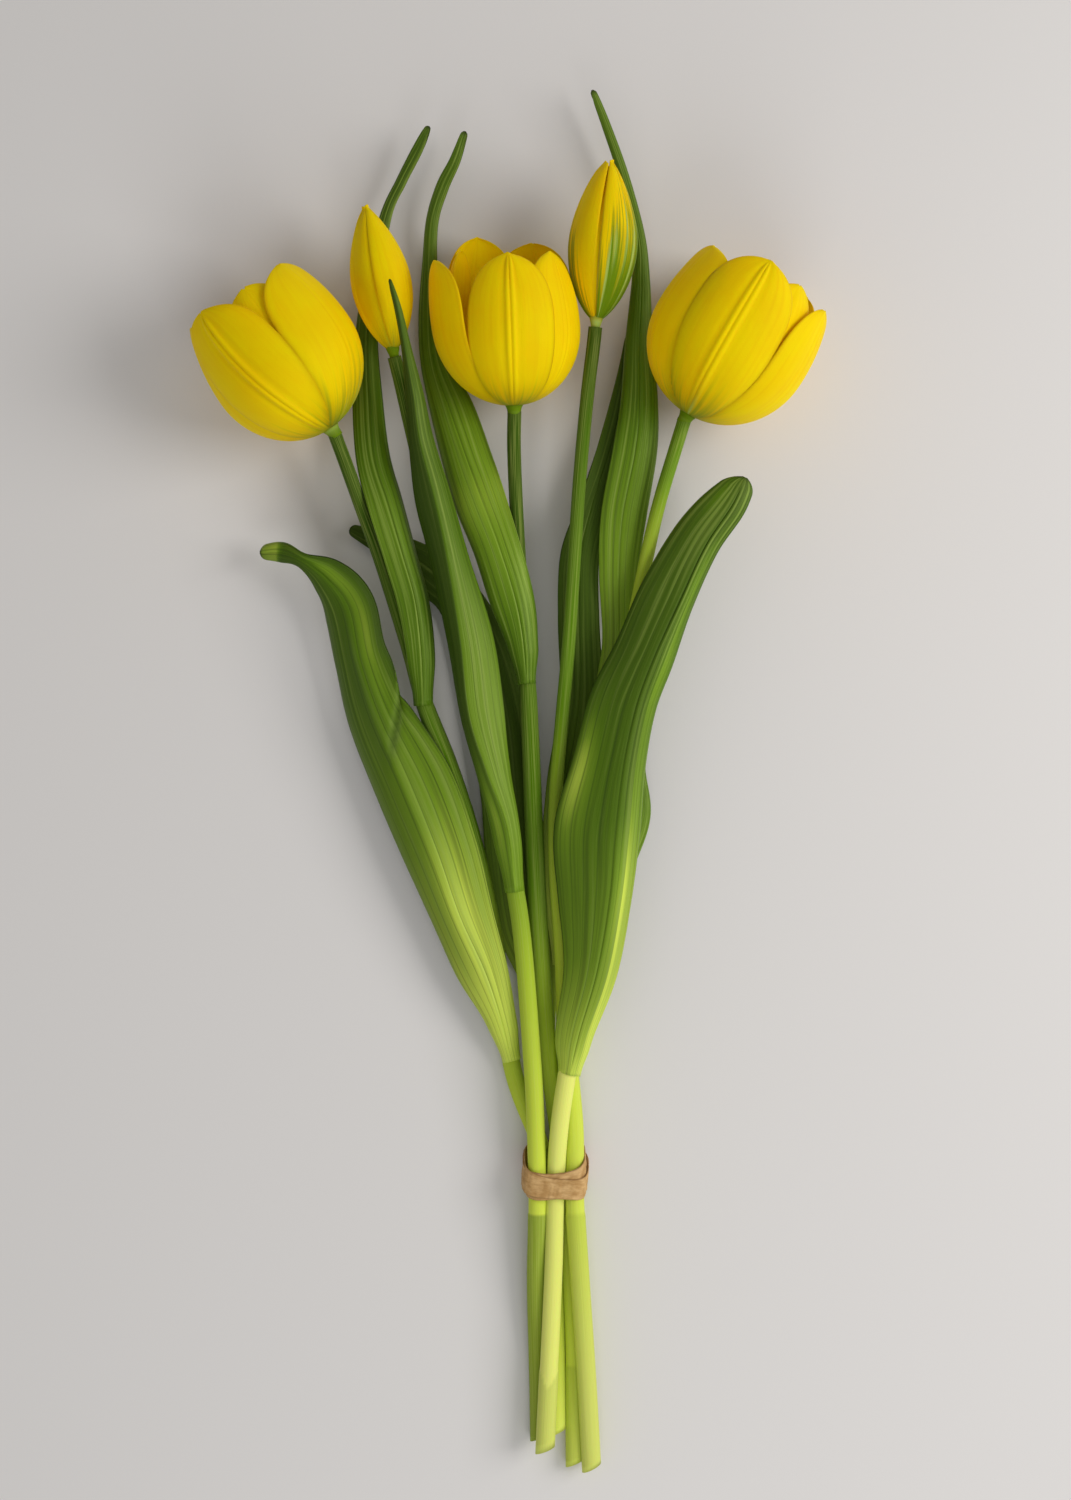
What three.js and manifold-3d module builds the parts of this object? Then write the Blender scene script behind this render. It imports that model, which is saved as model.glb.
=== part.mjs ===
// A hand-tied bunch of five yellow tulips, lying on a flat surface. Three flowers are open
// and two are still in bud. Nine leaves clasp the stems, and a paper tape holds the stems
// together a quarter of the way up. Millimetres, +Z up: the cut ends point to -Y, the
// flowers to +Y, and the surface that the bunch lies on is Z = 0.

import * as THREE from "three";
import { mergeVertices } from "three/addons/utils/BufferGeometryUtils.js";
import Module from "manifold-3d";

const wasm = await Module();
wasm.setup();

const STEM_FOOT_RADIUS = 3.1;
const STEM_NECK_RADIUS = 2.4;
const STEM_SWELL_LENGTH = 30;
const STEM_CUT_SLANT = 0.5;
const LEAF_THICKNESS = 0.8;
const PETAL_TIP_HALF_WIDTH = 0.9;
const RECEPTACLE_RADIUS = 4.3;
const TAPE_WIDTH = 9.5;
const TAPE_THICKNESS = 0.6;

const STEM_SIDES = 8;
const STEM_STEPS = 24;
const LEAF_CELLS = [22, 4];
const PETAL_CELLS = [7, 4];

const YELLOW = 0xe3c300;
const BUD_YELLOW = 0xdfc21a;
const STEM_GREEN = 0x7f9e3c;
const LEAF_GREEN = 0x4f7a24;
const KRAFT = 0xb88c5a;

// ---------------------------------------------------------------- smooth lines

// A Catmull-Rom curve through evenly spaced numbers, read at t from 0 to 1.
function smooth(values, t) {
  const last = values.length - 1;
  const place = Math.min(t, 1) * last;
  const i = Math.min(Math.floor(place), last - 1);
  const f = place - i;
  const b = values[i];
  const c = values[i + 1];
  const a = i > 0 ? values[i - 1] : 2 * b - c;
  const d = i + 2 <= last ? values[i + 2] : 2 * c - b;
  const cubic = -a + 3 * b - 3 * c + d;
  const square = 2 * a - 5 * b + 4 * c - d;
  return b + 0.5 * f * (c - a + f * (square + f * cubic));
}

function smoothPoint(points, t) {
  const axis = (k) => smooth(points.map((point) => point[k]), t);
  return new THREE.Vector3(axis(0), axis(1), axis(2));
}

function smoothTangent(points, t) {
  const step = 0.004;
  const before = smoothPoint(points, Math.max(t - step, 0));
  return smoothPoint(points, Math.min(t + step, 1)).sub(before).normalize();
}

// ---------------------------------------------------------------- closed skins

function geometryFrom(points, faces) {
  const geometry = new THREE.BufferGeometry();
  const position = new Float32Array(points.flatMap((p) => [p.x, p.y, p.z]));
  geometry.setAttribute("position", new THREE.BufferAttribute(position, 3));
  geometry.setIndex(faces);
  return geometry;
}

// Closes a sheet into a blade: the sheet is pushed half the thickness to each side along
// its own normals, both faces are split into the same triangles, and a rim joins them.
function blade(sheet, thickness) {
  const rows = sheet.length;
  const columns = sheet[0].length;
  const points = [];
  for (const side of [0.5, -0.5]) {
    sheet.forEach((row, i) => {
      row.forEach((point, j) => {
        const along = sheet[Math.min(i + 1, rows - 1)][j].clone().sub(sheet[Math.max(i - 1, 0)][j]);
        const across = row[Math.min(j + 1, columns - 1)].clone().sub(row[Math.max(j - 1, 0)]);
        const normal = across.cross(along).normalize();
        points.push(point.clone().addScaledVector(normal, side * thickness));
      });
    });
  }
  const faces = [];
  const front = (i, j) => i * columns + j;
  const back = (i, j) => rows * columns + i * columns + j;
  const quad = (a, b, c, d) => faces.push(a, b, c, a, c, d);
  for (let i = 0; i + 1 < rows; i += 1) {
    for (let j = 0; j + 1 < columns; j += 1) {
      quad(front(i, j), front(i, j + 1), front(i + 1, j + 1), front(i + 1, j));
      faces.push(back(i, j), back(i + 1, j + 1), back(i, j + 1));
      faces.push(back(i, j), back(i + 1, j), back(i + 1, j + 1));
    }
    quad(front(i + 1, 0), back(i + 1, 0), back(i, 0), front(i, 0));
    const e = columns - 1;
    quad(front(i, e), back(i, e), back(i + 1, e), front(i + 1, e));
  }
  for (let j = 0; j + 1 < columns; j += 1) {
    const e = rows - 1;
    quad(front(0, j), back(0, j), back(0, j + 1), front(0, j + 1));
    quad(front(e, j + 1), back(e, j + 1), back(e, j), front(e, j));
  }
  return geometryFrom(points, faces);
}

// Closes a stack of rings into a solid rod with a flat fan at each end.
function rod(rings) {
  const sides = rings[0].length;
  const points = rings.flat();
  const faces = [];
  for (let i = 0; i + 1 < rings.length; i += 1) {
    for (let j = 0; j < sides; j += 1) {
      const a = i * sides + j;
      const b = i * sides + ((j + 1) % sides);
      faces.push(a, b, b + sides, a, b + sides, a + sides);
    }
  }
  for (const [ring, order] of [[rings[0], -1], [rings[rings.length - 1], 1]]) {
    const start = order < 0 ? 0 : (rings.length - 1) * sides;
    const middle = ring.reduce((sum, p) => sum.add(p), new THREE.Vector3()).divideScalar(sides);
    const centre = points.push(middle);
    for (let j = 0; j < sides; j += 1) {
      const a = start + j;
      const b = start + ((j + 1) % sides);
      if (order > 0) faces.push(a, b, centre - 1);
      else faces.push(b, a, centre - 1);
    }
  }
  return geometryFrom(points, faces);
}

function solid(geometry) {
  const bare = geometry.clone();
  bare.deleteAttribute("normal");
  bare.deleteAttribute("uv");
  const merged = mergeVertices(bare, 1e-5);
  return new wasm.Manifold(new wasm.Mesh({
    numProp: 3,
    vertProperties: new Float32Array(merged.attributes.position.array),
    triVerts: new Uint32Array(merged.index.array),
  }));
}

function fused(geometries) {
  return geometries.map(solid).reduce((whole, piece) => whole.add(piece));
}

// The body without the hollows that fusing seals inside it and without loose scraps.
function outerBody(body) {
  const larger = (a, b) => (b.volume() > a.volume() ? b : a);
  return body.decompose().reduce(larger);
}

function geometryOf(body) {
  const mesh = body.getMesh();
  const geometry = new THREE.BufferGeometry();
  geometry.setAttribute("position", new THREE.BufferAttribute(mesh.vertProperties, 3));
  geometry.setIndex(new THREE.BufferAttribute(mesh.triVerts, 1));
  return geometry;
}

function finish(colour, roughness) {
  return new THREE.MeshStandardMaterial({ color: colour, roughness, metalness: 0 });
}

function named(name, geometry, material) {
  const mesh = new THREE.Mesh(geometry, material);
  mesh.name = name;
  return mesh;
}

// ---------------------------------------------------------------- stems

// Each stem is a solid rod with a slanting cut. It is thick as far as the leaf that clasps
// it, up to sheath along Y, and slim from there to the neck. A flat of the rod faces down,
// so the stems that reach the surface lie on it.
function stem(name, { sheath, line }) {
  const rings = [];
  for (let i = 0; i <= STEM_STEPS; i += 1) {
    const t = i / STEM_STEPS;
    const centre = smoothPoint(line, t);
    const forward = smoothTangent(line, t);
    const side = new THREE.Vector3().crossVectors(forward, new THREE.Vector3(0, 0, 1)).normalize();
    const up = new THREE.Vector3().crossVectors(side, forward);
    const slim = THREE.MathUtils.smoothstep(centre.y, sheath, sheath + STEM_SWELL_LENGTH);
    const radius = THREE.MathUtils.lerp(STEM_FOOT_RADIUS, STEM_NECK_RADIUS, slim);
    const slant = i === 0 ? STEM_CUT_SLANT : 0;
    const ring = [];
    for (let j = 0; j < STEM_SIDES; j += 1) {
      const angle = (2 * Math.PI * (j + 0.5)) / STEM_SIDES;
      const out = radius * Math.cos(angle);
      const point = centre.clone().addScaledVector(side, out).addScaledVector(forward, slant * out);
      ring.push(point.addScaledVector(up, -radius * Math.sin(angle)));
    }
    rings.push(ring);
  }
  return named(name, rod(rings), finish(STEM_GREEN, 0.5));
}

// ---------------------------------------------------------------- flowers

// How far out from the axis an open cup stands at height t (0 the base, 1 the lip):
// half an ellipse up to its widest, then drawing in a little.
const CUP_CLOSE = 0.22;
function cup(s) {
  if (s < 0.5) return { height: 0.5 * (1 - Math.cos(Math.PI * s)), out: Math.sin(Math.PI * s) };
  return { height: s, out: 1 - CUP_CLOSE * (2 * s - 1) ** 2 };
}

// A bud is widest near its middle and closes to a point.
const BUD_WAIST = 0.46;
function budCup(s) {
  if (s > BUD_WAIST) return { height: s, out: (1 - ((s - BUD_WAIST) / (1 - BUD_WAIST)) ** 1.8) ** 0.95 };
  const angle = (Math.PI / 2) * (s / BUD_WAIST);
  return { height: BUD_WAIST * (1 - Math.cos(angle)), out: Math.sin(angle) ** 1.5 };
}

// The breadth of a petal along its length, as a share of its widest: narrow at the root,
// full past the middle and rounded at the tip, the more so the blunter it is.
function petalBreadth(s, blunt) {
  if (s < 0.5) return Math.sin(Math.PI * s) ** 0.7;
  return (1 - (2 * s - 1) ** blunt) ** 0.58;
}

// One petal of a flower that stands on +Y. It turns azimuth degrees from straight up (+Z)
// towards +X, sweep degrees more from root to tip, and leans flare mm out at its tip.
const PETAL_ROOT = 0.05;
function petal(flower, [azimuth, sweep, halfBreadth, length, flare, layer, blunt]) {
  const sheet = [];
  for (let i = 0; i <= PETAL_CELLS[0]; i += 1) {
    const s = PETAL_ROOT + ((1 - PETAL_ROOT) * i) / PETAL_CELLS[0];
    const { height, out } = flower.shape(s);
    const share = petalBreadth(s, blunt);
    const radius = Math.max(flower.radius * out + (flare * height ** 2) + layer * out, 0.8);
    const spread = Math.min(Math.max(halfBreadth * share, PETAL_TIP_HALF_WIDTH) / radius, flower.spread);
    const middle = THREE.MathUtils.degToRad(azimuth + sweep * (height - 0.5));
    const row = [];
    for (let j = 0; j <= PETAL_CELLS[1]; j += 1) {
      const v = (2 * j) / PETAL_CELLS[1] - 1;
      const angle = middle + v * spread;
      const tucked = radius * (1 - flower.tuck * v * v);
      row.push(new THREE.Vector3(tucked * Math.sin(angle), length * height, tucked * Math.cos(angle)));
    }
    sheet.push(row);
  }
  return blade(sheet, flower.petalThickness);
}

function receptacle() {
  const knob = new THREE.SphereGeometry(RECEPTACLE_RADIUS, 12, 8);
  return knob.translate(0, RECEPTACLE_RADIUS * 0.55, 0);
}

// The bud's petals wrap the younger ones inside so tightly that these are one closed body.
const BUD_HEART_GROWTH = 0.65;
function budHeart(flower) {
  const profile = [new THREE.Vector2(0, 0)];
  for (const s of [0.15, 0.3, 0.46, 0.62, 0.77, 0.9]) {
    const { height, out } = budCup(s);
    profile.push(new THREE.Vector2((flower.radius + BUD_HEART_GROWTH) * out, flower.heart * height));
  }
  profile.push(new THREE.Vector2(0, flower.heart * 0.98));
  return new THREE.LatheGeometry(profile, 12);
}

// Sets a flower on the end of its stem: base is where the stem enters, heading turns it
// in plan (anticlockwise from +Y) and rise lifts its mouth. What would sink below the
// surface is pressed flat.
function flowerMesh(name, flower, colour) {
  const pieces = flower.petals.map((row) => petal(flower, row));
  pieces.push(receptacle());
  if (flower.heart) pieces.push(budHeart(flower));
  const turn = new THREE.Euler(
    THREE.MathUtils.degToRad(flower.rise), 0, THREE.MathUtils.degToRad(flower.heading), "ZXY");
  const place = new THREE.Matrix4().makeRotationFromEuler(turn).setPosition(...flower.base);
  pieces.forEach((piece) => piece.applyMatrix4(place));
  const below = new THREE.BoxGeometry(400, 400, 20).translate(0, 200, -10);
  const body = fused(pieces).subtract(solid(below));
  return named(name, geometryOf(outerBody(body)), finish(colour, 0.6));
}

// Petal rows: azimuth, sweep, half breadth, length, flare, layer, bluntness of the tip.
const OPEN = { shape: cup, spread: 1.1, tuck: 0.04, petalThickness: 1 };
const CLOSED = { shape: budCup, spread: 1.16, tuck: 0, petalThickness: 1.6 };
const BLOOM_LEFT = {
  ...OPEN, base: [-59.2, 119.9, 22.8], heading: 35, rise: 9, radius: 27,
  petals: [
    [-26, -28, 17.5, 55.5, 0, 0.6, 4.4],
    [50, 8, 20, 54, 0, 0.6, 3.6],
    [8, 0, 14, 54, -2, -1, 3.6],
    [118, 10, 15, 53.5, -1, -0.9, 3],
    [176, 0, 17, 54, 0, 0.5, 3.4],
    [-98, 0, 16, 54, 0, -0.9, 3.4],
  ],
};
const BLOOM_CENTRE = {
  ...OPEN, base: [3.1, 127.9, 20.4], heading: 2, rise: 9, radius: 25,
  petals: [
    [0, 0, 16, 50.5, 0, 1, 2.7],
    [-72, 0, 13, 49, 7, 0.3, 3.6],
    [51, 0, 15, 50.5, -1, -0.3, 2.5],
    [-146, 0, 16, 57, 0, 0.6, 3.6],
    [142, 24, 17, 54.5, 0, -0.2, 4],
    [-106, 0, 13, 52.5, -1, -1.2, 3],
  ],
};
const BLOOM_RIGHT = {
  ...OPEN, base: [62.2, 124.6, 23], heading: -30, rise: 9, radius: 27.5,
  petals: [
    [-3, 0, 18, 57, 0, 1.2, 3.2],
    [-62, 0, 18, 52.5, 1.5, 0.2, 3.8],
    [64, 4, 15, 52, 4, 0.3, 2.8],
    [34, 0, 13, 55, 0, -1.2, 3],
    [132, 0, 17, 54, 0, -0.8, 3.4],
    [-158, 0, 17, 54, 0, -0.2, 3.4],
  ],
};
const BUD_LEFT = {
  ...CLOSED, base: [-37.7, 145.5, 26.2], heading: 11, rise: 3, radius: 9.4, heart: 48,
  petals: [
    [58, 0, 13, 49.5, 0, 1.3, 2.6],
    [-64, 0, 13, 49.5, 0, 0.5, 2.6],
    [178, 0, 13, 48.5, 0, 0.9, 2.6],
  ],
};
const BUD_RIGHT = {
  ...CLOSED, base: [30.9, 155.8, 24.6], heading: -5, rise: 3, radius: 10.4, heart: 52,
  petals: [
    [43, 0, 14.5, 54, 0, 1.3, 2.6],
    [-78, 0, 15.5, 53.5, 1.5, 0.7, 2.6],
    [163, 0, 14.5, 52.5, 0, 0.9, 2.6],
  ],
};

// ---------------------------------------------------------------- leaves

// A leaf is a blade along its midrib, from the sheath that clasps the stem to the tip.
// At each station it has a breadth to either side, and each edge hangs below the midrib
// (or stands above it) by its lift. The section is half an ellipse; crease turns it
// towards a plain fold along the midrib.
function leaf(name, shape) {
  const sheet = [];
  for (let i = 0; i <= LEAF_CELLS[0]; i += 1) {
    const t = i / LEAF_CELLS[0];
    const centre = smoothPoint(shape.spine, t);
    const forward = smoothTangent(shape.spine, t).setZ(0).normalize();
    const side = new THREE.Vector3(forward.y, -forward.x, 0);
    const row = [];
    for (let j = 0; j <= LEAF_CELLS[1]; j += 1) {
      const v = (2 * j) / LEAF_CELLS[1] - 1;
      const reach = Math.sin((Math.PI / 2) * Math.abs(v));
      const drop = 1 - Math.cos((Math.PI / 2) * v);
      const across = THREE.MathUtils.lerp(reach, Math.abs(v), shape.crease);
      const along = THREE.MathUtils.lerp(drop, Math.abs(v), shape.crease);
      const breadth = v < 0 ? -smooth(shape.left, t) : smooth(shape.right, t);
      const lift = v < 0 ? smooth(shape.leftLift, t) : smooth(shape.rightLift, t);
      const point = centre.clone().addScaledVector(side, breadth * across);
      row.push(point.setZ(point.z + lift * along));
    }
    sheet.push(row);
  }
  return named(name, blade(sheet, LEAF_THICKNESS), finish(LEAF_GREEN, 0.42));
}

const LEAF_LEFT_LOW = {
  crease: 0.1,
  spine: [
    [2.3, -97, 8.1], [-1.4, -82, 11], [-7, -65, 13], [-15.5, -46, 15], [-23, -24, 17],
    [-32, -1.5, 17.5], [-42.5, 22, 17], [-49, 41, 16.5], [-53, 59, 17.5], [-60.5, 69, 18],
    [-69, 75, 18], [-76.5, 78, 15.5], [-84, 78, 13.5],
  ],
  left: [3.8, 5.6, 9.8, 10, 12.3, 13, 11.8, 9.5, 9.2, 5.8, 2.5, 3.2, 2],
  right: [3.8, 5.1, 7.9, 11.7, 13.6, 14.5, 10.8, 9.1, 9.1, 7, 2.5, 3.5, 2.5],
  leftLift: [-3.5, -3.5, -5, -6.5, -8, -9.5, -9.5, -8, -7, -4.5, -2, -2.5, -1],
  rightLift: [-3.5, -2, -1, -0.5, -1, 0.5, 3.5, 5.5, 5, 3, 0.5, -3, -2.5],
};
const LEAF_LEFT_HIGH = {
  crease: 0.15,
  spine: [
    [-27.6, 25.5, 20], [-28.5, 44.5, 21.6], [-30.5, 61, 22.6], [-34.7, 76.5, 23.2],
    [-40, 94.5, 22.6], [-45, 110.5, 19], [-47, 132, 13], [-47.6, 152, 11.5], [-45.8, 169.5, 11],
    [-41.2, 193.5, 10], [-35.6, 206, 11], [-29.6, 217, 13], [-26.2, 224, 14],
  ],
  left: [4.3, 5.1, 6.1, 6.5, 6.8, 5.8, 5.4, 3.9, 3.3, 2, 1.8, 1.8, 0.9],
  right: [3.6, 4.4, 4.4, 4.5, 5, 5.5, 4.6, 3.6, 3, 1.8, 1.6, 1.6, 0.9],
  leftLift: [-3.4, -1.2, -0.6, -0.5, 0, -1, -2.5, -2.5, -2, -1, -1, -0.5, 0],
  rightLift: [-3.5, -4.6, -7.5, -8, -7, -5, -3.5, -2.5, -2, -1, -1, -0.5, 0],
};
const LEAF_LEFT_BUD = {
  crease: 0.5,
  spine: [
    [3.4, -38, 20.6], [0.5, -15.5, 23.2], [-6, 2.5, 25.5], [-12, 22, 27], [-15, 47.5, 28],
    [-19.7, 76, 28.5], [-24, 96, 29], [-28.8, 114.5, 30], [-30.7, 130, 32], [-33, 144, 37],
    [-35.2, 156.5, 42], [-38, 166.5, 43],
  ],
  left: [4, 5.4, 3.6, 3, 4.5, 5.8, 6.5, 3.6, 2.6, 1.2, 1, 0.5],
  right: [4, 4.4, 8.1, 12, 11.2, 7.2, 5.8, 4.9, 3.4, 2, 1.1, 0.5],
  leftLift: [-3.5, -4.5, -5.5, -6.5, -6.5, -6, -5.5, -3.5, -3, -1.5, -1, 0],
  rightLift: [-3.5, -3.5, -4.5, -5, -5.5, -5.5, -5, -4, -3, -1.5, -1, 0],
};
const LEAF_CENTRE = {
  crease: 0.15,
  spine: [
    [7.4, 33, 19], [6.4, 46, 20.4], [3.8, 61, 21.6], [-2, 80, 22.2], [-7.8, 95.5, 20.6],
    [-12.6, 108.5, 17.5], [-19, 127, 13], [-24.5, 144, 9], [-26, 160, 7.5], [-26, 179, 7.5],
    [-25, 193, 9.5], [-21.4, 204, 11], [-17.2, 212.5, 12.5], [-13.8, 222.5, 13],
  ],
  left: [3.6, 5.5, 8.6, 8.9, 9.4, 8.5, 6.7, 4.6, 3.9, 2.5, 2.1, 2.3, 1.9, 1.1],
  right: [3.8, 4.8, 6.2, 7.1, 8.1, 8.5, 8.2, 5.1, 3.7, 2.3, 1.9, 1.9, 1.7, 1.2],
  leftLift: [-3.4, -3.3, -3.3, -5, -4.5, -4.5, -4, -2.5, -2, -1.5, -1.5, -1, -0.5, 0],
  rightLift: [-3.4, -3.8, -4.2, -0.3, -1, -3, -2.5, -2.5, -2, -1.5, -1.5, -1, -0.5, 0],
};
const LEAF_RIGHT_TALL = {
  crease: 0.1,
  spine: [
    [33.5, -6.5, 14.3], [36, 15.5, 15.2], [37.2, 31, 16], [39, 48, 16.6], [39, 71.5, 17.6],
    [40.2, 90.5, 18], [44.5, 113, 18], [46, 129.5, 17], [46, 150, 14], [46.8, 171.5, 12],
    [45.9, 187, 11.5], [41, 206.5, 11.5], [34.6, 224.5, 12.5], [29.8, 236.5, 13.5],
  ],
  left: [3.4, 5.4, 6.1, 5.6, 6.8, 7.3, 7.5, 6.4, 4.7, 3.2, 1.8, 1.6, 1.2, 0.8],
  right: [2.9, 6, 6.2, 5.7, 6.6, 8, 7.4, 6.2, 4.6, 2.8, 2, 1.7, 1.5, 1.1],
  leftLift: [-0.8, -1.7, -2, -2, -1, -1, -1.5, -2.5, -3, -2, -1.5, -1, -0.5, 0],
  rightLift: [-0.8, -1.7, -2, -1.6, -1.4, -2, -3, -3, -3, -2, -1.5, -1, -0.5, 0],
};
const LEAF_RIGHT_BROAD = {
  crease: 0.45,
  spine: [
    [22, -100.5, 18.3], [25.2, -86.5, 19.8], [31.3, -65, 21.6], [35.6, -40, 24.5],
    [37.5, -17, 27.5], [40.2, 5.5, 30], [44.5, 25.5, 31], [50.5, 42, 32], [59, 60.5, 32],
    [67.6, 79, 32], [76.4, 92.5, 31.5], [81, 102, 30.5],
  ],
  left: [4.8, 8.1, 11.5, 17.9, 20.8, 17.2, 16, 13.8, 14.2, 12.2, 9.6, 5],
  right: [4.6, 5, 7, 7.4, 8.4, 7.4, 6.7, 6.8, 4.8, 4.6, 4.9, 4],
  leftLift: [-3.5, -4, -4.5, -5.5, -6.5, -6.5, -6, -5.5, -4.5, -4, -3, -1.5],
  rightLift: [-3.5, -3.5, -4, -4.5, -5.5, -5, -4, -4, -4, -3, -2.5, -1.5],
};
const LEAF_RIGHT_BUD = {
  crease: 0.1,
  spine: [
    [18.8, -64, 4.2], [18, -31, 8.1], [20.2, -3.5, 10.9], [23.6, 14, 12.2], [25.6, 31, 12.8],
    [25.3, 55, 13.5], [25.6, 76.5, 13.8], [29.7, 94.5, 13.5], [34.6, 109, 13], [38.4, 123, 11.8],
    [42, 141, 9.8], [43, 154, 8],
  ],
  left: [2.9, 5.4, 6.1, 6.9, 6.8, 7.2, 6.7, 4.4, 4.5, 4.1, 3, 1.3],
  right: [3.4, 7.4, 8.7, 7.9, 7.9, 6.9, 6.6, 7.1, 6.5, 5.3, 3.5, 1.7],
  leftLift: [-0.3, -0.8, -1, -0.5, -0.3, 0, 0.2, 0.5, 0, -0.3, -0.8, 0],
  rightLift: [-0.3, -0.8, -1, -0.5, -0.8, -0.5, -0.8, -1, -1, -0.8, -0.8, 0],
};
const LEAF_BACK_LEFT = {
  crease: 0.1,
  spine: [
    [14.7, -97, 1.7], [12, -71, 2], [7, -50, 3], [3.3, -27.5, 4.6], [1, -5, 5.6], [-2, 21, 6],
    [-7.4, 45, 5.5], [-15.7, 62.5, 4.8], [-25.4, 72.5, 4], [-36.5, 80, 3.3], [-47, 84, 2.8],
    [-54, 87, 2.8],
  ],
  left: [2.6, 6.2, 10.2, 10.1, 9.5, 10.9, 10.3, 8.1, 8.5, 5.8, 3.2, 1.6],
  right: [3.1, 5.5, 10.9, 11.2, 10.1, 10.7, 9.2, 7.3, 6.9, 4.7, 3.3, 1.7],
  leftLift: [-0.2, -0.8, -1.4, -1.1, -1.6, -2, -2, -1.8, -1.5, -1.3, -0.8, -0.3],
  rightLift: [-0.2, -0.4, -0.4, -0.1, -0.6, -1.5, -1.5, -1.3, -1, -0.8, -0.4, -0.2],
};
const LEAF_BACK_RIGHT = {
  crease: 0.1,
  spine: [
    [25, -80, 10.4], [27, -60.5, 9.4], [30.5, -41.5, 8], [35.4, -25, 7], [40, -10.5, 6.4],
    [42, 3.5, 5.8], [43, 18.5, 5.2], [43, 29.5, 4.6],
  ],
  left: [3, 3.6, 5.5, 6.7, 7.7, 7, 5.5, 1.7],
  right: [3.3, 6.6, 8.3, 10.2, 10.3, 6.4, 4.2, 2.1],
  leftLift: [-0.8, -0.7, -1, -1, -1, -0.8, -0.6, -0.1],
  rightLift: [-0.8, -0.7, -1, -1.5, -1.5, -1.3, -0.6, -0.1],
};

// ---------------------------------------------------------------- stem lines, cut end to neck

const STEM_LEFT = {
  sheath: 3,
  line: [
    [17.8, -226, 2.95], [17.3, -190, 2.95], [15.9, -160, 3.6], [14.2, -138.5, 4.2],
    [11.4, -124.5, 4.5], [2.6, -100.5, 3.5], [-2.5, -64, 7], [-7.6, -36, 10], [-12.7, -15.5, 12.5],
    [-19.5, 5.5, 14.5], [-27.3, 25.5, 16.2], [-34, 48, 17], [-42.4, 75, 17.8], [-48.5, 92, 18.8],
    [-54.2, 108, 20.8], [-57.9, 118, 22.4],
  ],
};
const STEM_LEFT_BUD = {
  sheath: -55,
  line: [
    [11.9, -227.5, 3], [11.5, -206, 3.1], [10.7, -176, 6.4], [11, -153.5, 9.1],
    [11, -137.5, 10.2], [10.1, -110, 11.4], [8.5, -85, 13], [6.5, -60, 15], [4.1, -41, 16.4],
    [-0.7, -17, 17.4], [-6, 7, 18.2], [-10.8, 27.5, 18.9], [-16, 47.5, 19.6], [-21, 69.5, 20.5],
    [-25.3, 88.5, 21.5], [-29.3, 108.5, 22.8], [-32.7, 123.5, 24], [-35.4, 135.5, 25.3],
    [-37.3, 143.2, 26],
  ],
};
const STEM_CENTRE = {
  sheath: 10,
  line: [
    [24.2, -236.5, 2.95], [23.9, -200, 2.95], [22.7, -170, 3.1], [20.6, -138.5, 4.2],
    [17.8, -117.5, 4.2], [14.7, -93, 5.5], [12, -58.5, 8], [10.2, -24, 10.5], [8.9, 7.5, 13],
    [7.5, 36, 15.2], [5.8, 61.5, 16.8], [4.1, 88.5, 18.2], [3.1, 112, 19.4], [3.2, 125.6, 20],
  ],
};
const STEM_RIGHT_BUD = {
  sheath: -100,
  line: [
    [29.8, -237.5, 5.6], [28, -205, 7.8], [25.6, -170, 9.2], [23.9, -144, 9.9], [23.7, -120.5, 8.1],
    [21.6, -96, 6.8], [20, -72, 7.2], [18.8, -54.5, 8.6], [17.1, -27, 12], [17.4, -3.5, 15],
    [19.4, 20.5, 16.8], [21.8, 48, 18], [23.5, 75, 19.2], [25.3, 102, 20.6], [27.8, 129, 22.4],
    [30, 147, 23.8], [30.7, 153.5, 24.4],
  ],
};
const STEM_RIGHT = {
  sheath: -115,
  line: [
    [13.7, -230.5, 9.3], [16.4, -173.5, 9.8], [17.4, -137.5, 10.2], [18.7, -118, 13],
    [21.6, -98, 14.2], [25.4, -75, 15], [29.7, -41, 16.8], [33.4, -6.5, 19], [37.4, 20.5, 20.5],
    [42.5, 47.5, 21.5], [48.6, 78, 22.2], [52.6, 95, 22.4], [57.7, 112, 22.5], [61, 122.6, 22.6],
  ],
};

// ---------------------------------------------------------------- paper tape

// The tape goes round the bundle twice. Each turn is a flat band bent to a rounded box
// about the stems, and leans a little against the other. It has slid towards the cut ends
// on top, by TAPE_SLIDE for each millimetre of height.
const BUNDLE_CENTRE = [17.2, -134.5, 7.55];
const BUNDLE_HALF_WIDTH = 10.3;
const BUNDLE_HALF_HEIGHT = 6.5;
const BUNDLE_SQUARENESS = 4;
const TAPE_SIDES = 22;
const TAPE_SLIDE = -0.6;

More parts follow.
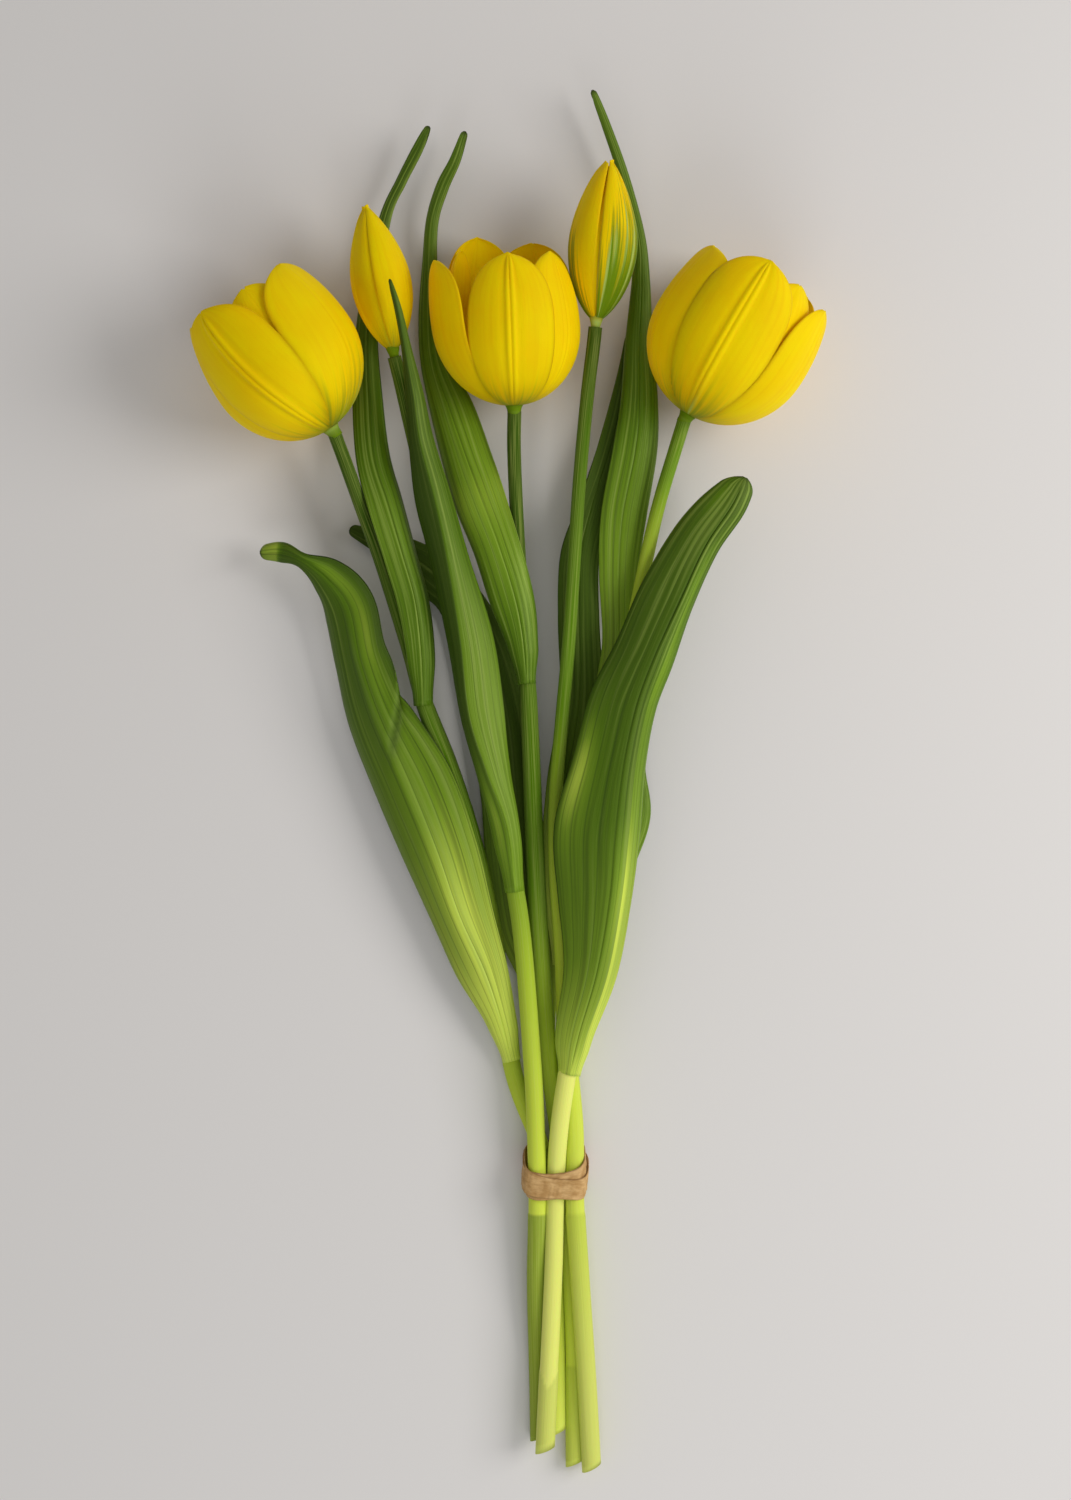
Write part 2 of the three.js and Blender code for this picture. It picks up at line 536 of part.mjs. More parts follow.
function tapeTurn(layer, lean) {
  const profile = [];
  for (let i = 0; i < TAPE_SIDES; i += 1) {
    const angle = (2 * Math.PI * i) / TAPE_SIDES;
    const c = Math.cos(angle);
    const s = Math.sin(angle);
    const sum = Math.abs(c) ** BUNDLE_SQUARENESS + Math.abs(s) ** BUNDLE_SQUARENESS;
    const reach = sum ** (-1 / BUNDLE_SQUARENESS);
    profile.push(new THREE.Vector2(
      (BUNDLE_HALF_WIDTH + layer * TAPE_THICKNESS) * c * reach,
      (BUNDLE_HALF_HEIGHT + layer * TAPE_THICKNESS) * s * reach));
  }
  const grown = (extra) => profile.map((p) => p.clone().addScaledVector(p.clone().normalize(), extra));
  const band = new THREE.Shape(grown(TAPE_THICKNESS));
  band.holes.push(new THREE.Path(grown(0)));
  const turn = new THREE.ExtrudeGeometry(band, { depth: TAPE_WIDTH, bevelEnabled: false });
  turn.translate(0, 0, -TAPE_WIDTH / 2).rotateX(Math.PI / 2).rotateZ(THREE.MathUtils.degToRad(lean));
  turn.applyMatrix4(new THREE.Matrix4().makeShear(0, 0, 0, 0, 0, TAPE_SLIDE));
  return turn.translate(...BUNDLE_CENTRE);
}

function tape() {
  const turns = fused([tapeTurn(0, 3), tapeTurn(0.7, -4)]);
  return named("tape", geometryOf(turns), finish(KRAFT, 0.7));
}

// ---------------------------------------------------------------- the bunch

const bunch = new THREE.Group();
bunch.add(
  stem("stem_left", STEM_LEFT),
  stem("stem_left_bud", STEM_LEFT_BUD),
  stem("stem_centre", STEM_CENTRE),
  stem("stem_right_bud", STEM_RIGHT_BUD),
  stem("stem_right", STEM_RIGHT),
  leaf("leaf_left_low", LEAF_LEFT_LOW),
  leaf("leaf_left_high", LEAF_LEFT_HIGH),
  leaf("leaf_left_bud", LEAF_LEFT_BUD),
  leaf("leaf_centre", LEAF_CENTRE),
  leaf("leaf_right_tall", LEAF_RIGHT_TALL),
  leaf("leaf_right_broad", LEAF_RIGHT_BROAD),
  leaf("leaf_right_bud", LEAF_RIGHT_BUD),
  leaf("leaf_back_left", LEAF_BACK_LEFT),
  leaf("leaf_back_right", LEAF_BACK_RIGHT),
  flowerMesh("bloom_left", BLOOM_LEFT, YELLOW),
  flowerMesh("bloom_centre", BLOOM_CENTRE, YELLOW),
  flowerMesh("bloom_right", BLOOM_RIGHT, YELLOW),
  flowerMesh("bud_left", BUD_LEFT, BUD_YELLOW),
  flowerMesh("bud_right", BUD_RIGHT, BUD_YELLOW),
  tape(),
);

export default bunch;
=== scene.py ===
"""A hand-tied bunch of yellow tulips, lying on a table: five stems, nine leaves, three open
flowers, two buds and a paper tape. Stations and sizes are in millimetres, and a piece goes
into its mesh in metres. +Z is up, the cut ends point to -Y and the flowers to +Y."""

import math

import bpy
import numpy as np
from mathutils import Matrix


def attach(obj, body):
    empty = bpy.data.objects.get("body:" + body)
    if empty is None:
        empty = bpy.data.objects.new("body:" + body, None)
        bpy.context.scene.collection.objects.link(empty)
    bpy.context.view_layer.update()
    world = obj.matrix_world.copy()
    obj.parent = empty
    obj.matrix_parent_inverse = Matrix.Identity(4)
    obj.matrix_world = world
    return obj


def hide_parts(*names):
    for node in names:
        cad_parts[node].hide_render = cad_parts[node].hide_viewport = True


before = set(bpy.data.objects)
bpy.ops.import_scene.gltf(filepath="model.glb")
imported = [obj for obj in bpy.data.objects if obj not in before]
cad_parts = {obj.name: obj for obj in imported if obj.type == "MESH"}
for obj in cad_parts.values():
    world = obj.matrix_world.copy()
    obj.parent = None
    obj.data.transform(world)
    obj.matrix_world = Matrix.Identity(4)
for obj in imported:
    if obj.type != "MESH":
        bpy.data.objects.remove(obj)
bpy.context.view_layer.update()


# ---------------------------------------------------------------- stems
# Each stem is a juicy stalk, grown in one piece: pale and thick at the cut, dark and slim
# under the flower. The lowest leaf has left a sleeve on some, which ends in a thin step,
# and the foot is cut on the slant.

MM = 0.001

STEM_FOOT_RADIUS = 3.15
STEM_NECK_RADIUS = 2.35
STEM_SWELL_OFFSET = 14
STEM_SWELL_LENGTH = 30
STEM_FLATTENING = 0.93
STEM_CUT_SLANT = 0.43
STEM_SLANT_LENGTH = 12
STEM_RINGS = 230
STEM_SIDES = 32
STEM_UNEVENNESS = 0.035
STEM_CLEARANCE = 0.02
SLEEVE_STEP = 0.2
SLEEVE_LIP_HALF = 0.35
SLEEVE_LIP_RINGS = 14
SLEEVE_LIP_REACH = (-0.022, 0.004)
SLOPE_STEP = 0.004
RADIANS_A_SPAN = 7

# The rings that close the foot: how far each is set in, and its share of the radius.
STEM_FOOT_RINGS = ((0.0, 0.3), (0.0, 0.62), (0.05, 0.84), (0.35, 0.97))

# Stations from the cut end to the neck. A stem is thick up to its sheath, along Y. sleeve_at
# is where a sleeve ends, sleeve_dip how far its lip dips on top, sleeve_shade how much greener
# it is, and dusk moves the dark green down the stalk.
STEMS = {
    "left": dict(
        sheath=3, sleeve_at=None, sleeve_dip=0, sleeve_shade=0, dusk=0.08,
        line=[
            [17.8, -226, 2.95], [17.3, -190, 2.95], [15.9, -160, 3.6], [14.2, -138.5, 4.2],
            [11.4, -124.5, 4.5], [2.6, -100.5, 3.5], [-2.5, -64, 7], [-7.6, -36, 10], [-12.7, -15.5, 12.5],
            [-19.5, 5.5, 14.5], [-27.3, 25.5, 16.2], [-34, 48, 17], [-42.4, 75, 17.8], [-48.5, 92, 18.8],
            [-54.2, 108, 20.8], [-57.9, 118, 22.4],
        ]),
    "left_bud": dict(
        sheath=-55, sleeve_at=-149, sleeve_dip=0, sleeve_shade=0.95, dusk=0.08,
        line=[
            [11.9, -227.5, 3], [11.5, -206, 3.1], [10.7, -176, 6.4], [11, -153.5, 9.1],
            [11, -137.5, 10.2], [10.1, -110, 11.4], [8.5, -85, 13], [6.5, -60, 15], [4.1, -41, 16.4],
            [-0.7, -17, 17.4], [-6, 7, 18.2], [-10.8, 27.5, 18.9], [-16, 47.5, 19.6], [-21, 69.5, 20.5],
            [-25.3, 88.5, 21.5], [-29.3, 108.5, 22.8], [-32.7, 123.5, 24], [-35.4, 135.5, 25.3],
            [-37.3, 143.2, 26],
        ]),
    "centre": dict(
        sheath=10, sleeve_at=-203, sleeve_dip=0, sleeve_shade=0.3, dusk=0.07,
        line=[
            [24.2, -236.5, 2.95], [23.9, -200, 2.95], [22.7, -170, 3.1], [20.6, -138.5, 4.2],
            [17.8, -117.5, 4.2], [14.7, -93, 5.5], [12, -58.5, 8], [10.2, -24, 10.5], [8.9, 7.5, 13],
            [7.5, 36, 15.2], [5.8, 61.5, 16.8], [4.1, 88.5, 18.2], [3.1, 112, 19.4], [3.2, 125.6, 20],
        ]),
    "right_bud": dict(
        sheath=-100, sleeve_at=-149, sleeve_dip=0, sleeve_shade=0.3, dusk=-0.05,
        line=[
            [29.8, -237.5, 5.6], [28, -205, 7.8], [25.6, -170, 9.2], [23.9, -144, 9.9], [23.7, -120.5, 8.1],
            [21.6, -96, 6.8], [20, -72, 7.2], [18.8, -54.5, 8.6], [17.1, -27, 12], [17.4, -3.5, 15],
            [19.4, 20.5, 16.8], [21.8, 48, 18], [23.5, 75, 19.2], [25.3, 102, 20.6], [27.8, 129, 22.4],
            [30, 147, 23.8], [30.7, 153.5, 24.4],
        ]),
    "right": dict(
        sheath=-115, sleeve_at=-203, sleeve_dip=5, sleeve_shade=0.3, dusk=-0.3,
        line=[
            [13.7, -230.5, 9.3], [16.4, -173.5, 9.8], [17.4, -137.5, 10.2], [18.7, -118, 13],
            [21.6, -98, 14.2], [25.4, -75, 15], [29.7, -41, 16.8], [33.4, -6.5, 19], [37.4, 20.5, 20.5],
            [42.5, 47.5, 21.5], [48.6, 78, 22.2], [52.6, 95, 22.4], [57.7, 112, 22.5], [61, 122.6, 22.6],
        ]),
}


def smooth_line(stations, t):
    """A curve through evenly spaced stations, read at t from 0 to 1: between two stations it
    is the cubic whose slope at each one is half the step between that one's neighbours."""
    stations = np.asarray(stations, float)
    before, after = 2 * stations[:1] - stations[1:2], 2 * stations[-1:] - stations[-2:-1]
    padded = np.concatenate([before, stations, after])
    passed = np.clip(t, 0, 1) * (len(stations) - 1)
    i = np.minimum(passed.astype(int), len(stations) - 2)
    f = (passed - i).reshape((-1,) + (1,) * (stations.ndim - 1))
    a, b, c, d = (padded[i + k] for k in range(4))
    cubic = 3 * b - a - 3 * c + d
    square = 2 * a - 5 * b + 4 * c - d
    return b + 0.5 * f * (c - a + f * (square + f * cubic))


def unit(vectors):
    """Vectors over their own lengths."""
    return vectors / np.linalg.norm(vectors, axis=-1, keepdims=True)


def ease(low, high, value):
    """0 up to low, 1 from high, and between them 3x^2 - 2x^3 of the share x of the way."""
    x = np.clip((value - low) / (high - low), 0, 1)
    return x * x * (3 - 2 * x)


def waves(seed, *spans):
    """A smooth random field over the given arrays, about -1 to 1: the mean of eight sine
    waves, each with its own pace along every array and its own start."""
    draw = np.random.default_rng(seed)
    total = 0
    for _ in range(8):
        phase = draw.uniform(0, 2 * math.pi)
        for span, pace in spans:
            phase = phase + span * pace * draw.uniform(-1, 1)
        total = total + np.sin(phase)
    return total / 4


def put_in_mesh(name, skins):
    """Joins closed skins into one smooth-shaded piece. A skin is its points, its faces with
    four and three corners, each point's place on it (across, along), and three marks.
    What would sink below the table is pressed flat."""
    points, corners, starts, spans, marks = [], [], [], [], []
    first = loops = 0
    for skin in skins:
        points.append(skin["points"])
        spans.append(skin["span"])
        marks.append(np.broadcast_to(skin["marks"], (len(skin["points"]), 3)))
        for faces in (skin["quads"], skin["tris"]):
            corners.append(faces.ravel() + first)
            starts.append(loops + np.arange(len(faces)) * faces.shape[1])
            loops += faces.size
        first += len(skin["points"])
    points, corners, starts = (np.concatenate(x) for x in (points, corners, starts))
    points[:, 2] = np.maximum(points[:, 2], 0)
    mesh = bpy.data.meshes.new(name)
    mesh.vertices.add(len(points))
    mesh.vertices.foreach_set("co", (points * MM).astype(np.float32).ravel())
    mesh.loops.add(len(corners))
    mesh.loops.foreach_set("vertex_index", corners.astype(np.int32))
    mesh.polygons.add(len(starts))
    mesh.polygons.foreach_set("loop_start", starts.astype(np.int32))
    mesh.update(calc_edges=True)
    span = mesh.uv_layers.new(name="span")
    span.data.foreach_set("uv", np.concatenate(spans)[corners].astype(np.float32).ravel())
    mark = mesh.attributes.new("mark", "FLOAT_VECTOR", "POINT")
    mark.data.foreach_set("vector", np.concatenate(marks).astype(np.float32).ravel())
    mesh.validate()
    mesh.shade_smooth()
    piece = bpy.data.objects.new(name, mesh)
    bpy.context.scene.collection.objects.link(piece)
    return piece


def lattice(rows, columns, closed):
    """The four corners of each cell of a grid of points, closed round or open across."""
    i = np.arange(rows - 1)[:, None]
    j = np.arange(columns if closed else columns - 1)[None, :]
    k = (j + 1) % columns
    cells = [i * columns + j, i * columns + k, (i + 1) * columns + k, (i + 1) * columns + j]
    return np.stack(cells, -1).reshape(-1, 4)


def rod_skin(rings, span, marks):
    """Rings one after the other make a tube, and a fan to its own middle closes each end."""
    rows, sides = rings.shape[:2]
    ends = rings[[0, -1]].mean(axis=1)
    points = np.concatenate([rings.reshape(-1, 3), ends])
    j = np.arange(sides)
    k = (j + 1) % sides
    last, count = (rows - 1) * sides, rows * sides
    foot = np.stack([k, j, np.full(sides, count)], -1)
    head = np.stack([last + j, last + k, np.full(sides, count + 1)], -1)
    span = np.concatenate([span.reshape(-1, 2), span[[0, -1]].mean(axis=1)])
    marks = np.concatenate([marks.reshape(-1, 3), marks[[0, -1], 0]])
    return dict(points=points, quads=lattice(rows, sides, True),
                tris=np.concatenate([foot, head]), span=span, marks=marks)


def stalk_skin(line, seed, sheath, sleeve_at, sleeve_dip, sleeve_shade, dusk):
    """A tube along the smooth line. Its radius eases from the foot's to the neck's past the
    sheath, varies by slow waves of a few hundredths of itself and is a step thicker below
    the sleeve's lip. The foot closes on a slant, with its rim rounded."""
    t = np.linspace(0, 1, STEM_RINGS)
    centre = smooth_line(line, t)
    if sleeve_at is not None:
        lip = np.interp(sleeve_at, centre[:, 1], t)
        t = np.sort(np.concatenate([t, lip + np.linspace(*SLEEVE_LIP_REACH, SLEEVE_LIP_RINGS)]))
        centre = smooth_line(line, t)
    forward = unit(smooth_line(line, t + SLOPE_STEP) - smooth_line(line, t - SLOPE_STEP))
    side = unit(np.cross(forward, [0, 0, 1]))
    up = np.cross(side, forward)
    angle = 2 * math.pi * np.arange(STEM_SIDES) / STEM_SIDES
    out, height = np.cos(angle), -np.sin(angle)
    past = centre[:, 1:2] - sheath - STEM_SWELL_OFFSET
    slim = ease(0, STEM_SWELL_LENGTH, past)
    radius = STEM_FOOT_RADIUS + (STEM_NECK_RADIUS - STEM_FOOT_RADIUS) * slim
    uneven = waves(seed, (t[:, None], 22), (out[None, :], 1.2))
    radius = radius * (1 + STEM_UNEVENNESS * uneven)
    sleeved = np.zeros((len(t), STEM_SIDES))
    if sleeve_at is not None:
        edge = sleeve_at - sleeve_dip * np.maximum(height, 0)[None, :] ** 3
        sleeved = 1 - ease(-SLEEVE_LIP_HALF, SLEEVE_LIP_HALF, centre[:, 1:2] - edge)
        radius = radius + SLEEVE_STEP * sleeved
    ring = side[:, None] * out[None, :, None]
    ring = ring + up[:, None] * height[None, :, None] * STEM_FLATTENING
    rings = centre[:, None] + radius[..., None] * ring
    foot = []
    for inset, share in STEM_FOOT_RINGS:
        foot.append(centre[0] + forward[0] * inset + radius[0][:, None] * share * ring[0])
    rings = np.concatenate([foot, rings])
    middle = np.mean(rings, axis=1)
    slant = STEM_CUT_SLANT * ease(STEM_SLANT_LENGTH, 0, (middle - centre[0]) @ forward[0])
    reach = (rings - middle[:, None]) @ side[0]
    rings = rings + slant[:, None, None] * reach[..., None] * forward[0]
    rings[..., 2] = np.maximum(rings[..., 2], STEM_CLEARANCE)
    along = np.concatenate([np.full(len(foot), -0.02), t])
    span = np.stack(np.broadcast_arrays(angle[None, :] / RADIANS_A_SPAN, along[:, None]), -1)
    marks = np.empty(span.shape[:2] + (3,))
    marks[..., 0] = seed
    marks[..., 1] = dusk
    marks[..., 2] = np.concatenate([np.tile(sleeved[:1], (len(foot), 1)), sleeved]) * sleeve_shade
    return rod_skin(rings, span, marks)


class Wire:
    """A node's output socket, so that a pattern over a surface reads as arithmetic."""

    def __init__(self, tree, socket):
        self.tree, self.socket = tree, socket

    def node(self, kind, settings, inputs, output=0):
        """Adds a node: first its settings (a ramp's as stops), then its sockets' values."""
        made = self.tree.nodes.new(kind)
        for key, value in settings.items():
            if key == "stops":
                ramp = made.color_ramp.elements
                while len(ramp) < len(value):
                    ramp.new(0.5)
                for stop, (share, colour) in zip(ramp, value):
                    stop.position, stop.color = share, colour
            else:
                setattr(made, key, value)
        for key, value in inputs.items():
            if isinstance(value, Wire):
                self.tree.links.new(value.socket, made.inputs[key])
            else:
                made.inputs[key].default_value = value
        return Wire(self.tree, made.outputs[output])

    def maths(self, operation, other=0.0, swapped=False):
        """One Math node on this value and another, or on the other and this one."""
        first, second = (other, self) if swapped else (self, other)
        return self.node("ShaderNodeMath", {"operation": operation}, {0: first, 1: second})

    def __add__(self, other):
        return self.maths("ADD", other)

    def __sub__(self, other):
        return self.maths("SUBTRACT", other)

    def __rsub__(self, other):
        return self.maths("SUBTRACT", other, swapped=True)

    def __mul__(self, other):
        return self.maths("MULTIPLY", other)

    __radd__ = __add__
    __rmul__ = __mul__

    def between(self, low, high):
        """0 up to low, 1 from high, and smooth between them."""
        return self.node("ShaderNodeMapRange", {"interpolation_type": "SMOOTHSTEP"},
                         {"Value": self, "From Min": low, "From Max": high})

    def blend(self, under, over):
        """The colour under where this is 0, and the colour over where it is 1."""
        return self.node("ShaderNodeMix", {"data_type": "RGBA"}, {0: self, 6: under, 7: over}, 2)

    def scatter(self, scale, detail=2.0, roughness=0.5):
        """Cloudy noise from 0 to 1 at this place."""
        inputs = {"Vector": self, "Scale": scale, "Detail": detail, "Roughness": roughness}
        return self.node("ShaderNodeTexNoise", {}, inputs)


def place(across, along, third):
    """A point for noise to be read at, from three wires or numbers."""
    maker = next(x for x in (across, along, third) if isinstance(x, Wire))
    return maker.node("ShaderNodeCombineXYZ", {}, {0: across, 1: along, 2: third})


def paint(code):
    """A colour from its two-digit codes for red, green and blue, as linear light."""
    share = [int(code[k:k + 2], 16) / 255 for k in (0, 2, 4)]
    linear = [s / 12.92 if s <= 0.04045 else ((s + 0.055) / 1.055) ** 2.4 for s in share]
    return (*linear, 1.0)


def new_finish(name, settings):
    """A material with its gloss set, and wires to each point's place and marks on its skin."""
    material = bpy.data.materials.new(name)
    material.use_nodes = True
    tree = material.node_tree
    shader = tree.nodes["Principled BSDF"]
    for key, value in settings.items():
        shader.inputs[key].default_value = value
    start = Wire(tree, None)
    span = start.node("ShaderNodeUVMap", {"uv_map": "span"}, {})
    mark = start.node("ShaderNodeAttribute", {"attribute_name": "mark"}, {}, "Vector")
    split = [span.node("ShaderNodeSeparateXYZ", {}, {0: span}, k) for k in (0, 1)]
    split += [mark.node("ShaderNodeSeparateXYZ", {}, {0: mark}, k) for k in (0, 1, 2)]
    return material, shader, split


def coat(shader, colour, roughness, height, relief):
    """Gives the shader what varies over the skin: its colour, its roughness and fine relief."""
    tree = colour.tree
    bump = colour.node("ShaderNodeBump", {}, {
        "Strength": 1.0, "Distance": relief * MM, "Height": height})
    for key, wire in (("Base Color", colour), ("Roughness", roughness), ("Normal", bump)):
        tree.links.new(wire.socket, shader.inputs[key])


def stalk_green():
    """Dark green at the neck, yellow-green below and palest at the cut, with fine streaks
    along it. Sleeves are a shade greener."""
    gloss = {"Subsurface Weight": 0.12, "Subsurface Scale": 1.5 * MM,
             "Subsurface Radius": (0.5, 1, 0.15), "Specular IOR Level": 0.3,
             "Specular Tint": (0.8, 1, 0.2, 1), "IOR": 1.3}
    finish, shader, (around, along, seed, dusk, sleeved) = new_finish("stalk_green", gloss)
    streaks = place(around * 60, along * 9, seed).scatter(1.0, 3)
    reach = along + (streaks - 0.5) * 0.1 + dusk
    colour = reach.node("ShaderNodeValToRGB", {"stops": (
        (0.0, paint("e8ec78")), (0.12, paint("d4e252")), (0.3, paint("d0e048")),
        (0.44, paint("acc434")), (0.58, paint("5c860e")), (0.9, paint("2e5006")))}, {0: reach})
    colour = sleeved.blend(colour, paint("8ba032"))
    colour = (streaks.between(0.35, 0.75) * 0.22).blend(colour, paint("e8ee84"))
    colour = along.between(-0.005, -0.015).blend(colour, paint("e2e48c"))
    coat(shader, colour, 0.42 + streaks * 0.16, streaks, 0.12)
    return finish


stalk_finish = stalk_green()
for number, (name, stem) in enumerate(STEMS.items()):
    skin = stalk_skin(seed=number + 1, **stem)
    stalk = put_in_mesh("stalk_" + name, [skin])
    stalk.data.materials.append(stalk_finish)
    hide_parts("stem_" + name)
    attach(stalk, "root")


# ---------------------------------------------------------------- leaves
# Each leaf is one long blade of waxy green tissue that clasps a stem with its sheath. Its
# veins run lengthwise as shallow grooves, and the rim is thin and dark.

LEAF_ROWS = 150
LEAF_COLUMNS = 73
LEAF_CROWDING = 0.25
LEAF_THICKNESS = 0.75
LEAF_RIM_SHARE = 0.35
LEAF_TIP_THINNING = 0.5
LEAF_TIP_CUT = 0.985
LEAF_HUG = (0.18, 0.45, 0.5)
LEAF_HUG_ENDS = (0.07, 0.01)
LEAF_RUFFLE = 0.35
LEAF_SEED = 11
VEINS_A_SIDE = 5
VEIN_SHARPNESS = 0.6
MIDVEIN_DEPTH = 1.4
MIDVEIN_HALF_WIDTH = 0.035
LOBE_RISE = (-0.006, 0.012)
LOBE_SINK = (0.3, 0.06)
LOBE_SIDE = (-0.4, 0.1)
LOBE_SWELL = (0.1, 0.035, 0.03)
LOBE_NOTCH = (0.16, -0.015, 0.018)
LOBE_SHADE = 0.65
LOBE_SHADE_LENGTH = 0.01
LOBE_GREEN = 0.04
PATCH_LENGTH = 0.09
PATCH_BREADTH = 0.28
STRIP_BLUR = 0.04
STRIP_LIGHT = 0.7

